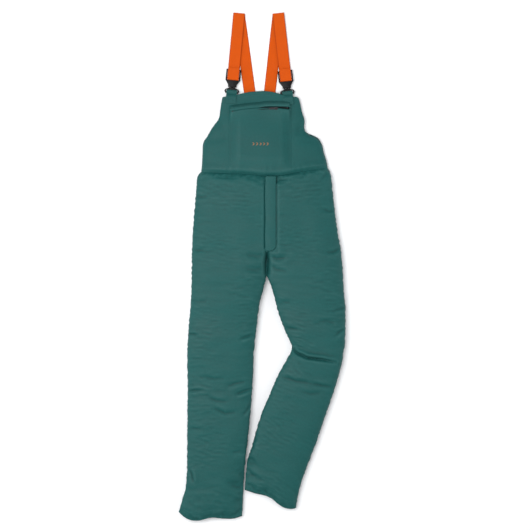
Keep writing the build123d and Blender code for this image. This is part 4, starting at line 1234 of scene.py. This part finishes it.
def zip_pieces(name, nodes, at, line, spread, height, colours):
    """Two tapes with teeth on their edges, met where the zip is closed and apart where it is open."""
    tape_cloth = fabric("zip_tape_cloth", [c * 1.4 for c in colours.lining], threads=1800.0, sheen=0.0,
                        wrinkle=0.0001, fade=0.02, gloss=0.06)
    coil_stuff = hard_material("zip_coil_nylon", (0.02, 0.03, 0.03), 0.4)
    tapes, teeth = bmesh.new(), bmesh.new()
    places = np.arange(at[0], at[1], TOOTH_PITCH)
    for side in (-1, 1):
        def tape(u, v):
            t = at[0] + (at[1] - at[0]) * v
            p, q = line(t)
            off = side * (0.4 + spread(t) + u * (TAPE_HALF - 0.4 - 0.6 * spread(t)))
            z = height + 0 * u
            return np.column_stack([p[:, 0] + q[:, 0] * off, p[:, 1] + q[:, 1] * off, z])

        made, u, v = grid(tapes, 3, 48, tape)
        lay_uv(tapes, made, [(vertex.co.x, vertex.co.y) for vertex in made])
        points, across = line(places + TOOTH_PITCH / 2 * (side > 0))
        for p, q, gap in zip(points, across, spread(places)):
            off = side * (0.85 + gap)
            centre = Vector((p[0] + q[0] * off, p[1] + q[1] * off, height + 1.0)) * MM
            bead(teeth, centre, Vector((q[0], q[1], 0)), Vector((0, 0, 1)), (2.1, 1.25, 1.5))
    up_first(tapes)
    tapes = new_object(f"{name}_tape_pair", tapes, tape_cloth)
    thicken(tapes, 0.5, levels=0)
    belong(tapes, "garment", "zip_tape", nodes[0])
    belong(new_object(f"{name}_teeth", teeth, coil_stuff), "garment", "zip_coil", nodes[1])


class TROUSERS_OT_zips(bpy.types.Operator):
    """Model the pocket's zip and the fly's, and finish their metal"""

    bl_idname = "trousers.zips"
    bl_label = "Zips"

    def execute(self, context):
        colours = context.scene.trouser_colours

        def across(t):
            return np.column_stack([-ZIP_TILT + 0 * t, 1 + 0 * t])

        def apart(t):
            share = np.clip((t - ZIP_OPEN_X) / (80.0 - ZIP_OPEN_X), 0, 1)
            return 3.0 * np.sin(share ** 0.8 * math.pi)

        zip_pieces("pocket_zip", ("pocket_zip_tapes", "pocket_zip_coil"), POCKET_ZIP_X,
                   lambda t: (np.column_stack([t, zip_line(t)]), across(t)), apart, POCKET_ZIP_TOP, colours)
        zip_pieces("fly_zip", ("fly_zip_tapes", "fly_zip_coil"), FLY_ZIP_Y,
                   lambda t: (np.column_stack([FLY_ZIP_X + 0 * t, t]), np.column_stack([1 + 0 * t, 0 * t])),
                   lambda t: 0 * t, FLY_ZIP_TOP, colours)
        metal = hard_material("zip_metal_plate", colours.metal, 0.35, metallic=1.0, grain=2000.0, depth=0.00002)
        for node in ("pocket_zip_slider", "pocket_zip_pull", "pocket_zip_stops", "fly_zip_slider", "fly_zip_pull",
                     "fly_zip_stops"):
            finish_node(node, metal)
        return {"FINISHED"}


def finish_node(node, material):
    """Gives a CAD node its material."""
    obj = frame["nodes"][node]
    obj.data.materials.clear()
    obj.data.materials.append(material)


# ---------------------------------------------------------------- braces

def at_buckle(side, x, y):
    """A point of the buckle's own frame, in millimetres: x across it, y towards the fold."""
    ax, ay = BRACE_AXIS[side]
    return BAR[side][0] + x * ay + y * ax, BAR[side][1] - x * ax + y * ay


def ribbon(name, path, half, columns, material, thickness):
    """A strap whose rows are (left x, y, right x, y, z) in millimetres, evenly thick."""
    rows = np.array(path, float)
    run = np.concatenate([[0], np.cumsum(np.linalg.norm(np.diff(np.column_stack([
        (rows[:, 0] + rows[:, 2]) / 2, (rows[:, 1] + rows[:, 3]) / 2, rows[:, 4]]), axis=0), axis=1))])

    def place(u, v):
        row = rows[np.round(v * (len(rows) - 1)).astype(int)]
        x = row[:, 0] + (row[:, 2] - row[:, 0]) * u
        y = row[:, 1] + (row[:, 3] - row[:, 1]) * u
        return np.column_stack([x, y, row[:, 4]])

    bm = bmesh.new()
    made, u, v = grid(bm, columns, len(rows) - 1, place)
    lay_uv(bm, made, list(zip((u - 0.5) * 2 * half * MM, np.interp(v, np.linspace(0, 1, len(rows)), run) * MM)))
    bm.normal_update()
    piece = new_object(name, bm, material)
    wall = piece.modifiers.new("Thickness", "SOLIDIFY")
    wall.thickness = thickness * MM
    wall.offset = 0.0
    soft = piece.modifiers.new("Edges", "BEVEL")
    soft.width = 0.45 * MM
    soft.segments = 2
    soft.limit_method = "ANGLE"
    soft.angle_limit = math.radians(50)
    return piece


def front_path(side, half):
    """The front run: tail end, loop round the buckle's bar, run up to the fold and over it."""
    length = BRACE_LENGTH[side]
    high, low, radius = 10.45, 5.55, 2.325
    stations = [(36 - 3.0 * i, high) for i in range(13)]
    stations = [(y, high - 0.25 * bump(y, 30, 8)) for y, _ in stations]
    for angle in np.linspace(90, 270, 9)[1:-1]:
        stations.append((-1.0 + 5.3 * math.cos(math.radians(angle)), 8 + 2.45 * math.sin(math.radians(angle))))
    steps = 36
    for i in range(steps + 1):
        y = (length - 3.225) * i / steps
        stations.append((y, low - 0.35 * math.sin(math.pi * i / steps)))
    for angle in np.linspace(90, -90, 9)[1:]:
        stations.append((length - 3.225 + radius * math.cos(math.radians(angle)),
                         3.225 + radius * math.sin(math.radians(angle))))
    return [(*at_buckle(side, -half, y), *at_buckle(side, half, y), z) for y, z in stations]


def rear_path(side, half):
    """The rear run, from under the bib's back up to the fold."""
    foot = np.array((REAR_FOOT_X[side], 484.0))
    length = BRACE_LENGTH[side]
    head_left = np.array(at_buckle(side, -half, length - 3.3))
    head_right = np.array(at_buckle(side, half, length - 3.3))
    middle = (head_left + head_right) / 2
    d = (middle - foot) / np.linalg.norm(middle - foot)
    n = np.array((d[1], -d[0]))
    rows = []
    for t in np.linspace(0, 1, 44):
        centre = foot + (middle - foot) * t
        turn = ease(np.array((t - 0.8) / 0.2))
        left = (centre - n * half) * (1 - turn) + (head_left + (centre - middle)) * turn
        right = (centre + n * half) * (1 - turn) + (head_right + (centre - middle)) * turn
        rows.append((*left, *right, 0.92))
    return rows


class TROUSERS_OT_braces(bpy.types.Operator):
    """Model the elastic braces"""

    bl_idname = "trousers.braces"
    bl_label = "Braces"

    def execute(self, context):
        half = context.scene.trouser_sizes.strap_width / MM / 2
        material = webbing_material(context.scene.trouser_colours)
        for side in SIDES:
            front = ribbon(f"brace_front_{side}", front_path(side, half), half, 16, material, 1.7)
            belong(front, f"brace_{side}", "orange_webbing", f"strap_front_{side}")
            rear = ribbon(f"brace_rear_{side}", rear_path(side, half), half, 16, material, 1.7)
            belong(rear, None, "orange_webbing", f"strap_rear_{side}")
            applied(rear)
            foot = (REAR_FOOT_X[side] * MM, 0.510, 0)
            head = at_buckle(side, 0, BRACE_LENGTH[side] - 3.3)
            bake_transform(rear, "garment", f"brace_{side}", start=foot, end=(head[0] * MM, head[1] * MM - 0.004, 0))
        return {"FINISHED"}


# ---------------------------------------------------------------- buckles

def rounded_copy(node, name, body, material, width, slot):
    """A copy of a CAD part with its edges rounded, which stands for it."""
    bm = bmesh.new()
    bm.from_mesh(frame["nodes"][node].data)
    bmesh.ops.remove_doubles(bm, verts=bm.verts, dist=0.005 * MM)
    bmesh.ops.dissolve_limit(bm, angle_limit=math.radians(1.0), verts=bm.verts, edges=bm.edges)
    sharp = [e for e in bm.edges if len(e.link_faces) == 2 and e.calc_face_angle(0) > math.radians(32)]
    bmesh.ops.bevel(bm, geom=sharp, offset=width, offset_type="OFFSET", affect="EDGES", segments=2, profile=0.5,
                    material=-1, clamp_overlap=True)
    piece = new_object(name, bm, material)
    piece.data.polygons.foreach_set("use_smooth", [False] * len(piece.data.polygons))
    piece.data.set_sharp_from_angle(angle=math.radians(30))
    piece.data.polygons.foreach_set("use_smooth", [True] * len(piece.data.polygons))
    return belong(piece, body, slot, node)


class TROUSERS_OT_buckles(bpy.types.Operator):
    """Model the quick-release buckles"""

    bl_idname = "trousers.buckles"
    bl_label = "Buckles"

    def execute(self, context):
        colours, width = context.scene.trouser_colours, context.scene.trouser_sizes.edge_round
        plastic = hard_material("buckle_moulding", colours.plastic, 0.42)
        # Painted highlight: the housing's raised face plate is a lighter copy of the buckle plastic, for the lighter
        # grey that light puts on its top.
        face = hard_material("buckle_face_painted_highlight", [c * 2.0 for c in colours.plastic], 0.5)
        for side in SIDES:
            rounded_copy(f"buckle_housing_{side}", f"housing_{side}", f"brace_{side}", plastic, width,
                         "buckle_plastic")
            rounded_copy(f"buckle_plug_{side}", f"plug_{side}", "garment", plastic, width, "buckle_plastic")
            for end in ("outer", "inner"):
                rounded_copy(f"buckle_arm_{end}_{side}", f"arm_{end}_{side}", f"buckle_arm_{end}_{side}", plastic,
                             width * 0.6, "buckle_plastic")
            bm = bmesh.new()

            def place(u, v):
                y = -9.5 - 19.5 * v
                half = 10.5 - 3.6 * np.sin(v * math.pi) + 0.8 * v
                x = (u * 2 - 1) * half
                z = 12.15 + 0.9 * (1 - (u * 2 - 1) ** 2) * np.sin(np.clip(v, 0.02, 0.98) * math.pi) ** 0.5
                px, py = at_buckle(side, x, y)
                return np.column_stack([px, py, z])

            grid(bm, 10, 12, place)
            up_first(bm)
            piece = new_object(f"housing_face_{side}", bm, face)
            thicken(piece, 0.8)
            belong(piece, f"brace_{side}", "buckle_plastic")
        return {"FINISHED"}


# ---------------------------------------------------------------- tabs

class TROUSERS_OT_tabs(bpy.types.Operator):
    """Model the cloth tabs that hold the buckles' plugs"""

    bl_idname = "trousers.tabs"
    bl_label = "Tabs"

    def execute(self, context):
        top = top_of(bpy.data.objects["bib_front_cloth"])
        for side in SIDES:
            base = at_buckle(side, 0, -80)
            level = heights(top, [base], 20)[0]
            edge = heights(top, [at_buckle(side, 0, -64.5)], 18)[0]
            stations = [(-88, level + 1.4 + 0.4), (-80, level + 1.5), (-72, edge + 1.9), (-65, edge + 1.4),
                        (-60, edge - 0.4), (-55.5, 13.6), (-50, 12.2), (-44.5, 12.0), (-41.9, 10.6), (-41.0, 8.0),
                        (-41.9, 5.4), (-44.5, 4.2), (-50, 4.1), (-56, 4.4), (-62, 5.4), (-68, 7.0), (-74, 8.2)]
            fine = smooth(np.arange(len(stations)), stations, np.linspace(0, len(stations) - 1, 49))
            half = 18.0
            path = [(*at_buckle(side, -half, y), *at_buckle(side, half, y), z) for y, z in fine]
            piece = ribbon(f"tab_cloth_{side}", path, half, 12, outer_fabric(context), 1.6)
            belong(piece, "garment", "outer_fabric", f"tab_{side}")
        return {"FINISHED"}


# ---------------------------------------------------------------- sewing

def resampled(points, pitch):
    """Points along a smooth line, one pitch apart, in millimetres."""
    points = np.asarray(points, float)
    knots = np.concatenate([[0], np.cumsum(np.hypot(*np.diff(points, axis=0).T))])
    if len(points) > 2:
        dense = smooth(knots, points, np.linspace(0, knots[-1], 40 * len(points)))
    else:
        dense = points
    run = np.concatenate([[0], np.cumsum(np.hypot(*np.diff(dense, axis=0).T))])
    at = np.arange(pitch / 2, run[-1], pitch)
    return np.column_stack([np.interp(at, run, dense[:, 0]), np.interp(at, run, dense[:, 1])])


def sew(bm, top, points, pitch, size=(2.9, 0.75, 0.6), turn=0.0):
    """A row of stitches along a line, half sunk in the cloth; turn slews each stitch on the line."""
    line = resampled(points, pitch)
    for i, (x, y) in enumerate(line):
        a, b = line[max(i - 1, 0)], line[min(i + 1, len(line) - 1)]
        hit = top(x * MM, y * MM)
        if hit is None or np.allclose(a, b):
            continue
        along = Vector((b[0] - a[0], b[1] - a[1], 0)).normalized()
        along = Matrix.Rotation(turn, 3, "Z") @ along
        along = (along - hit[1] * along.dot(hit[1])).normalized()
        bead(bm, hit[0] + hit[1] * 0.08 * MM, along, hit[1], size)


def offset_line(points, distance):
    """A line moved sideways to its left."""
    points = np.asarray(points, float)
    d = np.gradient(points, axis=0)
    d /= np.hypot(*d.T)[:, None]
    return points + distance * np.column_stack([-d[:, 1], d[:, 0]])


class TROUSERS_OT_sewing(bpy.types.Operator):
    """Sew the seams, bar tacks and emblem"""

    bl_idname = "trousers.sewing"
    bl_label = "Stitching"

    def execute(self, context):
        colours = context.scene.trouser_colours
        pitch = context.scene.trouser_sizes.stitch_pitch / MM * 1
        green = thread_material("green_sewing_thread", [c * 1.5 for c in colours.fabric])
        orange = thread_material("orange_sewing_thread", (0.42, 0.17, 0.06))
        objects = bpy.data.objects
        legs = top_of(objects["trousers_right"], objects["trousers_left"])
        bib = top_of(objects["bib_front_cloth"])
        pocket = top_of(objects["pocket_panel"], objects["pocket_welt"], objects["bib_front_cloth"])
        bm = bmesh.new()
        waist = [(x, float(read(WAIST, np.array([x]))[0])) for x in range(-200, 212, 12)]
        sew(bm, legs, offset_line(waist, -17), pitch)
        sew(bm, bib, offset_line(waist, 11), pitch)
        for edge, inset in ((BIB_LEFT[3:], 9), (BIB_RIGHT[3:], -9)):
            sew(bm, bib, offset_line(edge, -inset), pitch)
        sew(bm, bib, offset_line(BIB_EDGE_TOP[1:-1], -8), pitch)
        sew(bm, bib, offset_line(BIB_EDGE_TOP[1:-1], -14), pitch)
        low, high = POCKET_X
        for inset in (2.5, 8.5):
            for x in (low + inset, high - inset):
                sew(bm, pocket, [(x, 330), (x, 420), (x, mouth_top(x) - mouth_gap(x) - 4)], pitch)
        mouth = np.linspace(low + 5, high - 5, 20)
        sew(bm, pocket, np.column_stack([mouth, mouth_top(mouth) - mouth_gap(mouth) - 5]), pitch)
        sew(bm, pocket, np.column_stack([mouth, mouth_top(mouth) + 4.5]), pitch)
        for inset in (4.0, 9.0):
            sew(bm, legs, [(45.5 + inset, 300), (45.5 + inset, 76), (41 + inset, 60 - inset / 2),
                           (32, 49 - inset), (16, 43 - inset)], pitch)
        for side in SIDES:
            first = np.array(LEG[side][0], float)
            wave = np.array(HEM_WAVE[side], float)
            share = np.linspace(0.04, 0.96, 16)
            line = first[2:4] + (first[0:2] - first[2:4]) * share[:, None]
            line[:, 1] += smooth(wave[:, 0], wave[:, 1], share)
            line += np.array(LEG_AXIS[side][:2]) * 27
            sew(bm, legs, line, pitch)
        belong(new_object("topstitching", bm, green), "garment", "green_thread")
        bm = bmesh.new()
        flap = top_of(objects["fly_flap_cloth"])
        sew(bm, flap, [(39.5, 300), (39.5, 72), (37, 62), (30, 54), (20, 52.5), (12, 52.5)], pitch)
        sew(bm, flap, [(34, 300), (34, 74), (32, 66), (26, 60), (20, 59), (12, 59)], pitch)
        belong(new_object("flap_stitching", bm, green), "fly_flap", "green_thread")
        bm = bmesh.new()
        tabs = top_of(objects["tab_cloth_right"], objects["tab_cloth_left"])
        for side in SIDES:
            for a, b in (((-14, -86), (14, -86)), ((14, -86), (14, -68)), ((14, -68), (-14, -68)),
                         ((-14, -68), (-14, -86)), ((-14, -86), (14, -68)), ((14, -86), (-14, -68))):
                sew(bm, tabs, [at_buckle(side, *a), at_buckle(side, *b)], pitch)
        belong(new_object("tab_stitching", bm, green), "garment", "green_thread")
        bm = bmesh.new()
        for points, surface in (
            ([(89, 541), (96, 541.5)], pocket), ([(-112, 533), (-105, 533.5)], pocket),
            ([(10, 47), (17, 45.5)], legs), ([(46, 96), (46, 86)], legs), ([(11, -26), (14, -33)], legs),
        ):
            sew(bm, surface, points, 0.55, size=(5.2, 0.7, 0.9), turn=math.pi / 2)
        belong(new_object("bar_tacks", bm, green), "garment", "green_thread", "bartacks")
        bm = bmesh.new()
        length, half = CHEVRON
        for x0 in EMBLEM_X:
            for y in np.arange(-half, half + 0.01, THREAD_PITCH):
                x = x0 + length * (1 - abs(y) / half)
                hit = pocket(x * MM, (EMBLEM_Y + y) * MM)
                bead(bm, hit[0] + hit[1] * 0.3 * MM, Vector((1, 0, 0)), hit[1], (3.6, 0.85, 0.8))
        belong(new_object("emblem_chevrons", bm, orange), "garment", "orange_thread", "emblem")
        return {"FINISHED"}


# ---------------------------------------------------------------- stage

class TROUSERS_OT_stage(bpy.types.Operator):
    """Set the pale floor, the soft lights and the camera"""

    bl_idname = "trousers.stage"
    bl_label = "Floor, lights and camera"

    def execute(self, context):
        scene = context.scene
        colours, sizes = scene.trouser_colours, scene.trouser_sizes
        material, tree, shader = fresh_material("studio_floor")
        where = add(tree, "ShaderNodeTexCoord").outputs["Object"]
        mottle = use_group(tree, mottle_group(), Vector=where, Colour=(*colours.floor, 1), Scale=3.0, Amount=0.004)
        tree.links.new(mottle.outputs["Colour"], shader.inputs["Base Color"])
        shader.inputs["Roughness"].default_value = 0.9
        shader.inputs["Specular IOR Level"].default_value = 0.1
        bm = bmesh.new()
        bmesh.ops.create_grid(bm, x_segments=2, y_segments=2, size=14.0)
        floor = new_object("floor", bm, material)
        for name, place, size, share in LIGHTS:
            light = bpy.data.lights.new(name, "AREA")
            light.energy = sizes.key_light * share
            light.size = size
            obj = bpy.data.objects.new(name, light)
            obj.location = place
            obj.rotation_euler = (-Vector(place)).to_track_quat("-Z", "Y").to_euler()
            scene.collection.objects.link(obj)
        world = bpy.data.worlds.new("studio")
        world.use_nodes = True
        world.node_tree.nodes["Background"].inputs[0].default_value = (1, 1, 1, 1)
        world.node_tree.nodes["Background"].inputs[1].default_value = ROOM_LIGHT
        scene.world = world
        scene.view_settings.view_transform = "Standard"
        camera = bpy.data.cameras.new("camera")
        camera.lens, camera.sensor_width = LENS, SENSOR
        obj = bpy.data.objects.new("camera", camera)
        obj.location = (*VIEW_MIDDLE, VIEW_LEVEL + VIEW_WIDTH / SENSOR * LENS)
        scene.collection.objects.link(obj)
        scene.camera = obj
        return {"FINISHED"}


class TROUSERS_PT_panel(bpy.types.Panel):
    """Lists the pieces in the order they are made"""

    bl_idname = "TROUSERS_PT_panel"
    bl_label = "Bib trousers"
    bl_space_type = "VIEW_3D"
    bl_region_type = "UI"
    bl_category = "Trousers"

    def draw(self, context):
        for group in (context.scene.trouser_sizes, context.scene.trouser_colours):
            column = self.layout.column(align=True)
            for name in group.__annotations__:
                column.prop(group, name)
        column = self.layout.column(align=True)
        for operator in OPERATORS:
            column.operator(operator.bl_idname)


OPERATORS = (TROUSERS_OT_legs, TROUSERS_OT_linings, TROUSERS_OT_bib, TROUSERS_OT_pocket, TROUSERS_OT_fly,
             TROUSERS_OT_zips, TROUSERS_OT_braces, TROUSERS_OT_buckles, TROUSERS_OT_tabs, TROUSERS_OT_sewing,
             TROUSERS_OT_stage)
CLASSES = (TrouserSizes, TrouserColours, *OPERATORS, TROUSERS_PT_panel)


def register():
    """Adds the classes and the scene's sizes and colours."""
    for cls in CLASSES:
        bpy.utils.register_class(cls)
    bpy.types.Scene.trouser_sizes = bpy.props.PointerProperty(type=TrouserSizes)
    bpy.types.Scene.trouser_colours = bpy.props.PointerProperty(type=TrouserColours)


def unregister():
    """Takes them away again."""
    del bpy.types.Scene.trouser_sizes
    del bpy.types.Scene.trouser_colours
    for cls in reversed(CLASSES):
        bpy.utils.unregister_class(cls)


def main():
    """Builds every piece in order."""
    register()
    for operator in OPERATORS:
        group, name = operator.bl_idname.split(".")
        getattr(getattr(bpy.ops, group), name)()
    bpy.context.view_layer.update()


if __name__ == "__main__":
    main()
